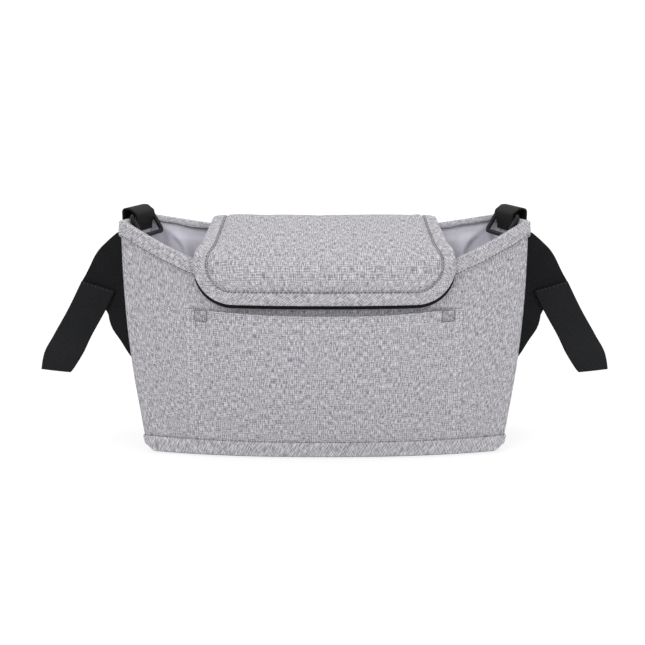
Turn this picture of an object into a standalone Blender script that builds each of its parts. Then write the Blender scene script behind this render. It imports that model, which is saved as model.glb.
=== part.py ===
"""Soft caddy that hangs on a pushchair handle, built in metres with +Z up.

The bag is one upright wall: a bowed front, two narrow side gussets and a flat back.
wall_point() gives that wall at any place round the bag and any height, and every
cloth layer is a grid laid on it at its own depth, then thickened.
"""
import math

import bmesh
import bpy
from mathutils import Vector

# Outline of the bag
TOP_HALF_WIDTH = 0.181        # front corner to centre, at the mouth
BASE_HALF_WIDTH = 0.1595       # front corner to centre, at the floor
BACK_TOP_HALF_WIDTH = 0.1655
BACK_BASE_HALF_WIDTH = 0.1545
WIDTH_TAPER = 2.25             # how fast the width grows above the floor
BACK_Y = 0.032                # outer face of the flat back
CORNER_TOP_Y = -0.022         # front corner at the mouth
CORNER_BASE_Y = -0.044        # front corner at the floor
FRONT_MOUTH_REACH = 0.060     # front centre, at the mouth and the floor
FRONT_BULGE = 0.012           # extra reach halfway up
FRONT_BOW = 2.4               # flatness of the front seen from above
RIM_CORNER = 0.2065           # rim height at the four corners
FRONT_RIM_MID = 0.1645
BACK_RIM_MID = 0.1845
RIM_FLAT_HALF = 0.42          # share of the half width where the rim stays level
RIM_CURVE = 1.3

# Cloth layers
GAP = 0.00050                 # clearance between neighbouring cloth pieces
PANEL = 0.0024                # laminated outer cloth
LINING = 0.0010
TAPE = 0.0012                 # bias tape
POCKET = 0.0014
BASE_CLOTH = 0.0030
BOARD = 0.0020
BOARD_INSET = 0.0060

# Bindings
MOUTH_BAND = 0.0120
BOTTOM_BAND_TOP = 0.0125
BOTTOM_BAND_LOW = 0.0010

# Front pocket
POCKET_TOP = 0.1330
POCKET_MOUTH_HALF = 0.1120
POCKET_MOUTH_DIP = 0.0020
POCKET_GAPE = 0.0085
BARTACK_WIDTH = 0.0120
BARTACK_HEIGHT = 0.0098
BARTACK_THICK = 0.0007

# Flap
FLAP_ROOT_Z = 0.1560
FLAP_ROOT_CLEAR = 0.0036
FLAP_CREST_Z = 0.2030
FLAP_CREST_BACK = 0.0060
FLAP_RIM_CLEAR = 0.0056
FLAP_RIM_LEAD = 0.0060        # the flap follows the rim this far beyond its own place
FLAP_FRONT_CLEAR = 0.0048
FLAP_HEM_Z = 0.1395
FLAP_ROOT_HALF = 0.1000
FLAP_CREST_HALF = 0.1025
FLAP_FRONT_HALF = 0.1120
FLAP_SPREAD_START = 0.64       # share of the flap's run where it widens faster
FLAP_SPREAD_SHARE = 0.4        # share of the widening that comes after that
FLAP_CREST_SHARE = 0.27         # share of the flap's run from its root to its crest
FLAP_CORNER = 0.0330
FLAP_EDGE = 0.0024
FLAP_PAD = 0.0068
FLAP_BAND = 0.0105

# Dividers of the two drink pockets
DIVIDER_X = 0.0780
DIVIDER_THICK = 0.0050
DIVIDER_TOP = 0.1300

# Side wings and strap tails, drawn for the left side
WING_THICK = 0.0018
WING_OVERLAP = 0.0120
WING_TOP_DROP = 0.0055         # top of the wing below the mouth corner
WING_REACH = 0.0508            # widest place of the wing beyond the mouth corner
WING_DROP = 0.1540             # foot of the wing below the mouth corner
WING_EDGE = (                  # free edge from the top down, as shares of reach and drop
    (0.04, 0.065), (0.27, 0.103), (0.39, 0.132), (0.53, 0.173), (0.65, 0.212), (0.75, 0.259),
    (0.84, 0.316), (0.925, 0.368), (1.0, 0.408), (0.87, 0.470), (0.71, 0.560), (0.56, 0.607),
    (0.52, 0.673), (0.46, 0.726), (0.33, 0.792), (0.14, 0.898), (-0.17, 1.0),
)
STRAP_THICK = 0.0016
STRAP_REACH = 0.0951           # strap end beyond the mouth corner
STRAP_DROP = 0.1514            # strap end below the mouth corner
STRAP_OUTER = (                # outer edge from the seam down, as shares of reach and drop
    (0.535, 0.415), (0.690, 0.599), (0.852, 0.766), (0.943, 0.853), (0.980, 0.915), (1.0, 0.979),
)
STRAP_INNER = (
    (0.206, 0.480), (0.320, 0.616), (0.468, 0.773), (0.558, 0.874), (0.667, 0.972), (0.707, 1.0),
)
STRAP_STILL_SHARE = 0.45       # upper share of the strap that stays in the wing's plane
STRAP_LIFT = 0.0070           # how far the tail end swings towards the front

# Ring tabs and rings
TAB_SIDE_CLEAR = 0.0007        # between the tab and each end bar of the ring
TAB_THICK = 0.0016
TAB_FOLD_ROUND = 0.0030
TAB_OUTER_DROP = 0.0300
TAB_INNER_DROP = 0.0160
RING_END_CLEAR = 0.0006        # between the ring and the bindings at both corners
RING_DROP = 0.0240
RING_BAR = 0.0040
RING_CORNER = 0.0026
RING_PLAY = 0.0009            # clearance between the ring's bar and the folded tab
RING_PIVOT_IN = 0.0065        # pivot, measured inwards from the gusset face
RING_PIVOT_UP = 0.0045        # pivot above the rim
RING_LEAN = 30.0              # degrees from straight down, towards the inside

# Columns of every grid round the bag, the same for each layer
FRONT_COLUMNS = 24
GUSSET_COLUMNS = 4
BACK_COLUMNS = 14
FLAP_COLUMNS = 20
FLAP_ROWS = 17
FLAP_CORNER_ROWS = 5

WALL_FLOOR = BASE_CLOTH + GAP
LINING_DEPTH = PANEL + GAP
LINING_FLOOR = BASE_CLOTH + BOARD + 2.0 * GAP
TAPE_OUT = GAP + 0.5 * TAPE
TAPE_IN = LINING_DEPTH + LINING + GAP + 0.5 * TAPE


def clear_scene():
    for item in list(bpy.data.objects):
        bpy.data.objects.remove(item, do_unlink=True)


def clamp(value, low=0.0, high=1.0):
    return max(low, min(high, value))


def mix(a, b, t):
    return a + (b - a) * t


def ease(value, low, high):
    t = clamp((value - low) / (high - low))
    return t * t * (3.0 - 2.0 * t)


# The wall
def taper(z):
    return clamp(1.0 - z / RIM_CORNER) ** WIDTH_TAPER


def front_half_width(z):
    return mix(TOP_HALF_WIDTH, BASE_HALF_WIDTH, taper(z))


def back_half_width(z):
    return mix(BACK_TOP_HALF_WIDTH, BACK_BASE_HALF_WIDTH, taper(z))


def corner_y(z):
    return mix(CORNER_BASE_Y, CORNER_TOP_Y, clamp(z / RIM_CORNER))


def rim_rise(u):
    return (max(0.0, abs(u) - RIM_FLAT_HALF) / (1.0 - RIM_FLAT_HALF)) ** RIM_CURVE


def front_rim(u):
    return mix(FRONT_RIM_MID, RIM_CORNER, rim_rise(u))


def back_rim(u):
    return mix(BACK_RIM_MID, RIM_CORNER, rim_rise(u))


def front_y(u, z):
    share = clamp(z / front_rim(u))
    reach = FRONT_MOUTH_REACH + FRONT_BULGE * math.sin(math.pi * share)
    bow = 1.0 - abs(u) ** FRONT_BOW
    return mix(corner_y(z), -reach, bow)


def side_of(s):
    return int(math.floor(s)) % 4


def wall_xy(side, t, z):
    """Outer face of one side of the bag; t runs 0 to 1, anticlockwise seen from above."""
    if side == 0:
        u = 2.0 * t - 1.0
        return Vector((u * front_half_width(z), front_y(u, z), 0.0))
    if side == 2:
        u = 1.0 - 2.0 * t
        return Vector((u * back_half_width(z), BACK_Y, 0.0))
    if side == 1:
        start = Vector((front_half_width(z), corner_y(z), 0.0))
        end = Vector((back_half_width(z), BACK_Y, 0.0))
    else:
        start = Vector((-back_half_width(z), BACK_Y, 0.0))
        end = Vector((-front_half_width(z), corner_y(z), 0.0))
    return start.lerp(end, t)


def side_normal(side, t, z):
    """Level outward normal of one side."""
    step = 0.004
    low = clamp(t - step)
    high = clamp(t + step)
    along = wall_xy(side, high, z) - wall_xy(side, low, z)
    return Vector((along.y, -along.x, 0.0)).normalized()


def wall_point(s, z, out_a, out_b=None):
    """Point at place s and height z, moved outwards; corners are mitred between sides.

    out_a is the distance for the side that s lies on, out_b the one of the side before,
    used at a corner only.
    """
    out_b = out_a if out_b is None else out_b
    side = side_of(s)
    t = s - math.floor(s)
    normal = side_normal(side, t, z)
    if t > 1e-6:
        point = wall_xy(side, t, z) + normal * out_a
    else:
        before = side_normal((side + 3) % 4, 1.0, z)
        cross = normal.x * before.y - normal.y * before.x
        shift = Vector((
            (out_a * before.y - out_b * normal.y) / cross,
            (out_b * normal.x - out_a * before.x) / cross,
            0.0,
        ))
        point = wall_xy(side, 0.0, z) + shift
    point.z = z
    return point


def panel_point(side, t, z, out):
    point = wall_xy(side, t, z) + side_normal(side, t, z) * out
    point.z = z
    return point


def rim_at(s):
    side = side_of(s)
    t = s - math.floor(s)
    if side == 0:
        return front_rim(2.0 * t - 1.0)
    if side == 2:
        return back_rim(1.0 - 2.0 * t)
    return RIM_CORNER


def round_places():
    """Places round the bag, with one exactly on each corner."""
    places = []
    counts = (FRONT_COLUMNS, GUSSET_COLUMNS, BACK_COLUMNS, GUSSET_COLUMNS)
    for side, count in enumerate(counts):
        for step in range(count):
            places.append(side + step / count)
    return places


# Building helpers
def colour(r, g, b):
    def linear(value):
        value /= 255.0
        if value <= 0.04045:
            return value / 12.92
        return ((value + 0.055) / 1.055) ** 2.4
    return (linear(r), linear(g), linear(b), 1.0)


MELANGE = (colour(170, 168, 173), 0.88, 0.0)
LILAC = (colour(186, 183, 194), 0.72, 0.0)
WEBBING = (colour(24, 25, 28), 0.80, 0.0)
HOOK_TAPE = (colour(28, 29, 32), 0.62, 0.0)
PLASTIC = (colour(20, 20, 22), 0.38, 0.0)
BOARD_GREY = (colour(210, 208, 202), 0.70, 0.0)


def add_material(item, finish):
    material = bpy.data.materials.new(item.name + "_finish")
    material.use_nodes = True
    shader = material.node_tree.nodes["Principled BSDF"]
    shader.inputs["Base Color"].default_value = finish[0]
    shader.inputs["Roughness"].default_value = finish[1]
    shader.inputs["Metallic"].default_value = finish[2]
    material.diffuse_color = finish[0]
    item.data.materials.append(material)


def add_object(name, data, finish):
    item = bpy.data.objects.new(name, data)
    CADDY.objects.link(item)
    add_material(item, finish)
    return item


def finish_mesh(name, bm, finish):
    data = bpy.data.meshes.new(name)
    for face in bm.faces:
        face.smooth = True
    bm.to_mesh(data)
    bm.free()
    return add_object(name, data, finish)


def thicken(item, thickness, offset, group="", thin=0.0):
    cloth = item.modifiers.new("cloth", "SOLIDIFY")
    cloth.thickness = thickness
    cloth.offset = offset
    cloth.use_even_offset = True
    cloth.use_quality_normals = True
    if group:
        cloth.vertex_group = group
        cloth.thickness_vertex_group = thin


def laid_grid(columns, rows, place):
    """Grid whose vertex at column i and row j is moved to place(i, j)."""
    bm = bmesh.new()
    bmesh.ops.create_grid(bm, x_segments=columns, y_segments=rows, size=0.5)
    for vertex in bm.verts:
        i = round((vertex.co.x + 0.5) * columns)
        j = round((vertex.co.y + 0.5) * rows)
        vertex.co = place(i, j)
    return bm


def cloth_panel(name, side, columns, rows, top, low, out, thickness, finish, inset=(0.0, 0.0)):
    """One side of the bag from height low up to top(t), its outer face at distance out."""
    def place(i, j):
        t = mix(inset[0], 1.0 - inset[1], i / columns)
        z = mix(low, top(t), j / rows)
        return panel_point(side, t, z, out(t, z))
    item = finish_mesh(name, laid_grid(columns, rows, place), finish)
    thicken(item, thickness, -1.0)
    return item


def ring_grid(places, rows, place):
    """Closed band round the bag."""
    count = len(places)
    bm = laid_grid(count, rows, lambda i, j: place(places[i % count], j))
    bmesh.ops.remove_doubles(bm, verts=bm.verts, dist=0.00002)
    return bm


def flat_plate(name, outline, lift, thickness, finish):
    """Level plate with its lower face at height lift."""
    bm = bmesh.new()
    bmesh.ops.create_circle(bm, cap_ends=True, segments=len(outline), radius=1.0)
    bm.verts.ensure_lookup_table()
    for vertex, point in zip(bm.verts, outline):
        vertex.co = (point.x, point.y, lift)
    bmesh.ops.recalc_face_normals(bm, faces=bm.faces)
    for face in bm.faces:
        if face.normal.z < 0.0:
            face.normal_flip()
    item = finish_mesh(name, bm, finish)
    thicken(item, thickness, 1.0)
    return item


# Outer shell
def build_shell():
    def front_top(t):
        return front_rim(2.0 * t - 1.0)

    def back_top(t):
        return back_rim(1.0 - 2.0 * t)

    def level_top(t):
        return RIM_CORNER

    def flush(t, z):
        return 0.0

    cloth_panel("front_panel", 0, FRONT_COLUMNS, 11, front_top, WALL_FLOOR, flush, PANEL, MELANGE)
    cloth_panel("back_panel", 2, BACK_COLUMNS, 5, back_top, WALL_FLOOR, flush, PANEL, MELANGE)
    margin = (PANEL + GAP) / (BACK_Y - CORNER_TOP_Y)
    front_margin = 1.45 * margin
    cloth_panel("right_gusset", 1, GUSSET_COLUMNS, 8, level_top, WALL_FLOOR, flush, PANEL, MELANGE,
                (front_margin, margin))
    cloth_panel("left_gusset", 3, GUSSET_COLUMNS, 8, level_top, WALL_FLOOR, flush, PANEL, MELANGE,
                (margin, front_margin))

    places = round_places()
    outline = [wall_point(s, WALL_FLOOR, 0.0) for s in places]
    flat_plate("base_panel", outline, 0.0, BASE_CLOTH, MELANGE)
    inner = [wall_point(s, WALL_FLOOR, -BOARD_INSET) for s in places]
    flat_plate("base_board", inner, BASE_CLOTH + GAP, BOARD, BOARD_GREY)


def build_lining():
    places = round_places()
    rows = 7

    def place(s, j):
        z = mix(LINING_FLOOR, rim_at(s), j / rows)
        return wall_point(s, z, -LINING_DEPTH)

    bm = ring_grid(places, rows, place)
    low = min(vertex.co.z for vertex in bm.verts)
    floor_edges = [
        edge for edge in bm.edges
        if edge.is_boundary and all(vertex.co.z < low + 1e-6 for vertex in edge.verts)
    ]
    bmesh.ops.edgeloop_fill(bm, edges=floor_edges)
    bmesh.ops.recalc_face_normals(bm, faces=bm.faces)
    floor = min(bm.faces, key=lambda face: face.calc_center_median().z)
    if floor.normal.z > 0.0:
        for face in bm.faces:
            face.normal_flip()
    item = finish_mesh("lining", bm, LILAC)
    thicken(item, LINING, -1.0)


def build_dividers():
    rows = 4
    columns = 4
    skin = LINING_DEPTH + LINING + GAP
    floor = LINING_FLOOR + LINING + GAP
    for name, sign in (("left_divider", -1.0), ("right_divider", 1.0)):
        def place(i, j, sign=sign):
            z = mix(floor, DIVIDER_TOP, j / rows)
            nearest = front_y(DIVIDER_X / front_half_width(z), z)
            farthest = BACK_Y - skin
            slack = 1.25 * skin + GAP
            y = mix(nearest + slack, farthest, i / columns)
            return Vector((sign * (DIVIDER_X - 0.5 * DIVIDER_THICK), y, z))
        bm = laid_grid(columns, rows, place)
        item = finish_mesh(name, bm, LILAC)
        thicken(item, DIVIDER_THICK, 1.0 if sign > 0.0 else -1.0)


# Bindings
def build_mouth_binding():
    section = (
        (TAPE_OUT, -MOUTH_BAND),
        (TAPE_OUT, -0.5 * MOUTH_BAND),
        (TAPE_OUT, 0.0),
        (0.7 * TAPE_OUT, 0.7 * TAPE_OUT),
        (0.0, TAPE_OUT),
        (-0.5 * (TAPE_IN - TAPE_OUT), 1.2 * TAPE_OUT),
        (-(TAPE_IN - TAPE_OUT), TAPE_OUT),
        (-(TAPE_IN - 0.3 * TAPE_OUT), 0.7 * TAPE_OUT),
        (-TAPE_IN, 0.0),
        (-TAPE_IN, -MOUTH_BAND),
    )

    def place(s, j):
        out, lift = section[j]
        return wall_point(s, rim_at(s) + lift, out)

    bm = ring_grid(round_places(), len(section) - 1, place)
    item = finish_mesh("mouth_binding", bm, MELANGE)
    thicken(item, TAPE, 0.0)


def build_bottom_binding():
    rows = 3
    over_pocket = POCKET + 2.0 * GAP

    def place(s, j):
        z = mix(BOTTOM_BAND_LOW, BOTTOM_BAND_TOP, j / rows)
        wall_z = max(z, WALL_FLOOR)
        front = GAP + over_pocket
        if side_of(s) == 0:
            behind = GAP
            point = wall_point(s, wall_z, front, behind)
        elif side_of(s) == 1:
            point = wall_point(s, wall_z, GAP, front)
        else:
            point = wall_point(s, wall_z, GAP)
        point.z = z
        return point

    bm = ring_grid(round_places(), rows, place)
    item = finish_mesh("bottom_binding", bm, MELANGE)
    thicken(item, TAPE, 1.0)


# Front pocket
def pocket_mouth(t):
    u = 2.0 * t - 1.0
    x = abs(u) * TOP_HALF_WIDTH
    dip = POCKET_MOUTH_DIP * (1.0 - clamp(x / POCKET_MOUTH_HALF) ** 2)
    return POCKET_TOP - dip


def pocket_gape(t, z):
    x = abs(2.0 * t - 1.0) * TOP_HALF_WIDTH
    across = 1.0 - clamp(x / POCKET_MOUTH_HALF) ** 3
    up = clamp((z - BOTTOM_BAND_TOP) / (POCKET_TOP - BOTTOM_BAND_TOP)) ** 1.6
    return POCKET_GAPE * across * up


def pocket_out(t, z):
    return GAP + pocket_gape(t, z) + POCKET


def build_pocket():
    cloth_panel("pocket_panel", 0, FRONT_COLUMNS, 9, pocket_mouth, WALL_FLOOR, pocket_out, POCKET, MELANGE)
    for name, sign in (("left_bartack", -1.0), ("right_bartack", 1.0)):
        def place(i, j, sign=sign):
            x = sign * POCKET_MOUTH_HALF + (0.5 * i - 0.5) * BARTACK_WIDTH
            z = POCKET_TOP - GAP - BARTACK_HEIGHT * (1.0 - 0.5 * j)
            t = 0.5 * (x / front_half_width(z) + 1.0)
            return panel_point(0, t, z, pocket_out(t, z) + 1.4 * GAP)
        item = finish_mesh(name, laid_grid(2, 2, place), MELANGE)
        thicken(item, BARTACK_THICK, 1.0)


# Flap
def flap_controls(x):
    """Inner face of the flap at one distance from the centre line, as (y, z) points."""
    u = (abs(x) + FLAP_RIM_LEAD) / TOP_HALF_WIDTH
    rim_z = front_rim(u)
    rim_y = front_y(u, rim_z)
    crest = Vector((BACK_Y - FLAP_CREST_BACK, FLAP_CREST_Z))
    bend = Vector((rim_y - 0.3 * FLAP_RIM_CLEAR, rim_z + FLAP_RIM_CLEAR))
    below = rim_z - 0.012
    half = front_half_width(FLAP_HEM_Z)
    return (
        Vector((BACK_Y + FLAP_ROOT_CLEAR, FLAP_ROOT_Z)),
        Vector((BACK_Y + FLAP_ROOT_CLEAR, 0.5 * (FLAP_ROOT_Z + FLAP_CREST_Z))),
        Vector((BACK_Y + 0.8 * FLAP_ROOT_CLEAR, FLAP_CREST_Z - 0.009)),
        crest,
        crest.lerp(bend, 0.33) + Vector((0.0, 0.0010)),
        crest.lerp(bend, 0.66) + Vector((0.0, 0.0016)),
        bend,
        Vector((front_y(abs(x) / half, below) - FLAP_FRONT_CLEAR, below)),
        Vector((front_y(abs(x) / half, FLAP_HEM_Z) - FLAP_FRONT_CLEAR, FLAP_HEM_Z)),
    )


def spline(points, share):
    """Catmull-Rom point and direction at a share of the chord length."""
    chords = [(b - a).length for a, b in zip(points, points[1:])]
    target = clamp(share) * sum(chords)
    index = 0
    while index < len(chords) - 1 and target > chords[index]:
        target -= chords[index]
        index += 1
    t = clamp(target / chords[index])
    p1 = points[index]
    p2 = points[index + 1]
    p0 = points[index - 1] if index > 0 else p1 + (p1 - p2)
    p3 = points[index + 2] if index + 2 < len(points) else p2 + (p2 - p1)
    m1 = 0.5 * (p2 - p0)
    m2 = 0.5 * (p3 - p1)
    t2 = t * t
    t3 = t2 * t
    point = (p1 * (2.0 * t3 - 3.0 * t2 + 1.0) + m1 * (t3 - 2.0 * t2 + t)
             + p2 * (3.0 * t2 - 2.0 * t3) + m2 * (t3 - t2))
    slope = (p1 * (6.0 * t2 - 6.0 * t) + m1 * (3.0 * t2 - 4.0 * t + 1.0)
             + p2 * (6.0 * t - 6.0 * t2) + m2 * (3.0 * t2 - 2.0 * t))
    return point, slope.normalized()


def flap_length():
    points = flap_controls(0.0)
    return sum((b - a).length for a, b in zip(points, points[1:]))


def flap_point(x, run, height):
    """Point on the flap: x across, run along it from the root, height off its inner face."""
    point, slope = spline(flap_controls(x), run / FLAP_RUN)
    outward = Vector((slope.y, -slope.x))
    beyond = max(0.0, run - FLAP_RUN) + min(0.0, run)
    place = point + outward * height + slope * beyond
    return Vector((x, place.x, place.y))


def flap_half(run):
    crest_run = FLAP_CREST_SHARE * FLAP_RUN
    front_run = FLAP_RUN - FLAP_CORNER
    if run < crest_run:
        half = mix(FLAP_ROOT_HALF, FLAP_CREST_HALF, run / crest_run)
    else:
        steady = clamp((run - crest_run) / (front_run - crest_run))
        late = ease(run, FLAP_SPREAD_START * FLAP_RUN, front_run)
        half = mix(FLAP_CREST_HALF, FLAP_FRONT_HALF, mix(steady, late, FLAP_SPREAD_SHARE))
    left = FLAP_RUN - run
    if left < FLAP_CORNER:
        rise = FLAP_CORNER - left
        half -= FLAP_CORNER - math.sqrt(max(0.0, FLAP_CORNER ** 2 - rise ** 2))
    return half


def flap_rows(count, corner_count):
    """Runs of the grid rows, even along the flap and by angle round its lower corners."""
    straight = FLAP_RUN - FLAP_CORNER
    runs = [straight * step / count for step in range(count)]
    for step in range(corner_count + 1):
        angle = 0.5 * math.pi * step / corner_count
        runs.append(straight + FLAP_CORNER * math.sin(angle))
    return runs


def flap_outline(side_count, corner_count, hem_count):
    """Places round the free edge from the left root to the right root, as (x, run, inward)."""
    places = []
    straight = FLAP_RUN - FLAP_CORNER
    for step in range(side_count):
        run = straight * step / side_count
        places.append((-flap_half(run), run, Vector((1.0, 0.0))))
    for step in range(corner_count):
        angle = 0.5 * math.pi * step / corner_count
        run = straight + FLAP_CORNER * math.sin(angle)
        places.append((-flap_half(run), run, Vector((math.cos(angle), -math.sin(angle)))))
    hem_half = flap_half(FLAP_RUN)
    for step in range(hem_count + 1):
        x = mix(-hem_half, 0.0, step / hem_count)
        places.append((x, FLAP_RUN, Vector((0.0, -1.0))))
    mirrored = [(-x, run, Vector((-inward.x, inward.y))) for x, run, inward in places[-2::-1]]
    return places + mirrored


def build_flap():
    rows = flap_rows(FLAP_ROWS, FLAP_CORNER_ROWS)
    columns = FLAP_COLUMNS
    margin = FLAP_BAND + TAPE + GAP

    def across(i, run):
        half = flap_half(run)
        if i == 0:
            return half
        if i == columns:
            return -half
        return (half - margin) * (1.0 - 2.0 * (i - 1) / (columns - 2))

    def place(i, j):
        return flap_point(across(i, rows[j]), rows[j], 0.0)

    bm = laid_grid(columns, len(rows) - 1, place)
    item = finish_mesh("flap_panel", bm, MELANGE)
    group = item.vertex_groups.new(name="pad")
    for j, run in enumerate(rows):
        for i in range(columns + 1):
            index = j * (columns + 1) + i
            full = flap_half(min(run, FLAP_RUN - FLAP_CORNER))
            edge = full - abs(across(i, run))
            hem = FLAP_RUN - run
            depth = min(edge, hem)
            if edge < FLAP_CORNER and hem < FLAP_CORNER:
                depth = FLAP_CORNER - math.hypot(FLAP_CORNER - edge, FLAP_CORNER - hem)
            root = ease(run, 0.10 * FLAP_RUN, 0.34 * FLAP_RUN)
            weight = ease(depth, margin, 3.0 * FLAP_BAND) * root
            group.add([index], weight, "REPLACE")
    thicken(item, FLAP_PAD, 1.0, "pad", FLAP_EDGE / FLAP_PAD)

    outline = flap_outline(FLAP_ROWS, FLAP_CORNER_ROWS, 6)
    high = FLAP_EDGE + TAPE_OUT + 1.5 * GAP
    section = (
        (FLAP_BAND, -TAPE_OUT),
        (0.0, -TAPE_OUT),
        (-0.7 * TAPE_OUT, -0.7 * TAPE_OUT),
        (-TAPE_OUT, 0.0),
        (-TAPE_OUT, FLAP_EDGE),
        (-0.7 * TAPE_OUT, high - 0.3 * TAPE_OUT),
        (0.0, high),
        (0.5 * FLAP_BAND, high),
        (FLAP_BAND, high),
    )

    def wrap(i, j):
        x, run, inward = outline[i]
        depth, height = section[j]
        return flap_point(x + inward.x * depth, run + inward.y * depth, height)

    bm = laid_grid(len(outline) - 1, len(section) - 1, wrap)
    bmesh.ops.reverse_faces(bm, faces=bm.faces)
    tape = finish_mesh("flap_binding", bm, MELANGE)
    thicken(tape, TAPE, 0.0)


# Side wings and strap tails
def from_mouth_corner(shares, reach, drop):
    """Places beside and below a corner of the mouth, given as shares of a reach and a drop."""
    return [Vector((TOP_HALF_WIDTH + a * reach, RIM_CORNER - b * drop)) for a, b in shares]


def wing_outline(sign):
    """Outline in x and z; the last five points run along the seam on the back panel."""
    points = [(sign * spot.x, spot.y) for spot in from_mouth_corner(WING_EDGE, WING_REACH, WING_DROP)]
    inner = BACK_TOP_HALF_WIDTH - WING_OVERLAP
    clear = BACK_TOP_HALF_WIDTH + 0.5 * TAPE + TAPE_OUT + GAP
    below = RIM_CORNER - 1.7 * MOUTH_BAND
    foot = RIM_CORNER - WING_DROP
    seam = ((inner, foot), (inner, 0.5 * (foot + below)), (inner, below),
            (clear, below), (clear, RIM_CORNER - WING_TOP_DROP))
    points += [(sign * x, z) for x, z in seam]
    return points


def build_wings():
    y = BACK_Y + GAP
    for name, sign in (("left_wing", -1.0), ("right_wing", 1.0)):
        points = wing_outline(sign)
        bm = bmesh.new()
        bmesh.ops.create_circle(bm, cap_ends=True, segments=len(points), radius=1.0)
        bm.verts.ensure_lookup_table()
        for vertex, (x, z) in zip(bm.verts, points):
            vertex.co = (x, y, z)
        for face in bm.faces:
            face.normal_update()
            if face.normal.y < 0.0:
                face.normal_flip()
        item = finish_mesh(name, bm, WEBBING)
        thicken(item, WING_THICK, 1.0)


def build_straps():
    outer = from_mouth_corner(STRAP_OUTER, STRAP_REACH, STRAP_DROP)
    inner = from_mouth_corner(STRAP_INNER, STRAP_REACH, STRAP_DROP)
    rows = 10
    for name, sign in (("left_strap", -1.0), ("right_strap", 1.0)):
        def place(i, j, sign=sign):
            share = j / rows
            spot = spline(outer, share)[0].lerp(spline(inner, share)[0], 0.5 * i)
            swing = STRAP_LIFT * ease(share, STRAP_STILL_SHARE, 1.0)
            return Vector((sign * spot.x, BACK_Y - swing, spot.y))
        bm = laid_grid(2, rows, place)
        bmesh.ops.recalc_face_normals(bm, faces=bm.faces)
        for face in bm.faces:
            face.normal_update()
        if sum(face.normal.y for face in bm.faces) > 0.0:
            bmesh.ops.reverse_faces(bm, faces=bm.faces)
        item = finish_mesh(name, bm, HOOK_TAPE)
        thicken(item, STRAP_THICK, 1.0)


# Ring tabs and rings
def tab_frame(side):
    """Middle of a gusset rim with its along, inward and up directions."""
    centre = wall_xy(side, 0.5, RIM_CORNER)
    centre.z = RIM_CORNER
    inward = -side_normal(side, 0.5, RIM_CORNER)
    up = Vector((0.0, 0.0, 1.0))
    along = up.cross(inward)
    return centre, along, inward, up


def tab_section():
    reach = 0.5 * RING_BAR + RING_PLAY + 0.5 * TAB_THICK
    outer = TAPE_OUT + 0.5 * TAPE + GAP + 0.5 * TAB_THICK
    inner = TAPE_IN + 0.5 * TAPE + GAP + 0.5 * TAB_THICK
    top = RING_PIVOT_UP + reach
    points = [
        (-outer, -TAB_OUTER_DROP),
        (-outer, -0.5 * TAB_OUTER_DROP),
        (-outer, 0.0),
        (-outer, top - TAB_FOLD_ROUND),
        (-outer + 0.3 * TAB_FOLD_ROUND, top - 0.3 * TAB_FOLD_ROUND),
        (-outer + TAB_FOLD_ROUND, top),
    ]
    for angle in (90.0, 60.0, 30.0, 0.0):
        turn = math.radians(angle)
        points.append((RING_PIVOT_IN + reach * math.cos(turn), RING_PIVOT_UP + reach * math.sin(turn)))
    points += [
        (RING_PIVOT_IN + 0.85 * reach, 0.0012),
        (inner + 0.0012, -0.0030),
        (inner + 0.0003, -0.0070),
        (inner + 0.0002, -TAB_INNER_DROP),
    ]
    return points


def ring_half(side):
    """Half distance between the ring's end bars, clear of the bindings at both corners."""
    centre, along, inward, up = tab_frame(side)
    corner_sides = ((0, 0.0), (2, 1.0)) if side == 3 else ((0, 1.0), (2, 0.0))
    far_bar = (RING_DROP - RING_BAR) * math.sin(math.radians(RING_LEAN))
    halves = []
    for wall, t in corner_sides:
        corner = wall_xy(wall, t, RIM_CORNER)
        corner.z = RIM_CORNER
        inner = -side_normal(wall, t, RIM_CORNER)
        taken = TAPE_IN + 0.5 * TAPE + 0.5 * RING_BAR + RING_END_CLEAR
        for depth in (RING_PIVOT_IN, RING_PIVOT_IN + far_bar):
            room = (centre + inward * depth - corner).dot(inner) - taken
            halves.append(room / abs(along.dot(inner)))
    return min(halves)


def build_tabs_and_rings():
    section = tab_section()
    radius = 0.5 * RING_BAR
    for side, word in ((3, "left"), (1, "right")):
        centre, along, inward, up = tab_frame(side)
        half = ring_half(side)
        tab_width = 2.0 * (half - radius - TAB_SIDE_CLEAR)

        def place(i, j):
            reach, lift = section[j]
            shift = (0.5 * i - 0.5) * tab_width
            return centre + along * shift + inward * reach + up * lift

        bm = laid_grid(2, len(section) - 1, place)
        tab = finish_mesh(word + "_ring_tab", bm, WEBBING)
        thicken(tab, TAB_THICK, 0.0)

        pivot = centre + inward * RING_PIVOT_IN + up * RING_PIVOT_UP
        lean = math.radians(RING_LEAN)
        down = inward * math.sin(lean) - up * math.cos(lean)
        drop = RING_DROP - RING_BAR
        path = []
        for a, b in ((-half, 0.0), (-half, drop), (half, drop), (half, 0.0)):
            ca = a - math.copysign(RING_CORNER, a)
            cb = b + (RING_CORNER if b == 0.0 else -RING_CORNER)
            for step in range(4):
                turn = corner_angle(a, b, step / 3.0)
                path.append((ca + RING_CORNER * math.cos(turn), cb + RING_CORNER * math.sin(turn)))
        data = bpy.data.curves.new(word + "_ring", "CURVE")
        data.dimensions = "3D"
        data.bevel_depth = radius
        data.bevel_resolution = 2
        data.use_fill_caps = True
        line = data.splines.new("POLY")
        line.points.add(len(path) - 1)
        for point, (a, b) in zip(line.points, path):
            spot = along * a + down * b
            point.co = (spot.x, spot.y, spot.z, 1.0)
        line.use_cyclic_u = True
        line.use_smooth = True
        ring = add_object(word + "_ring", data, PLASTIC)
        ring.location = pivot


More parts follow.
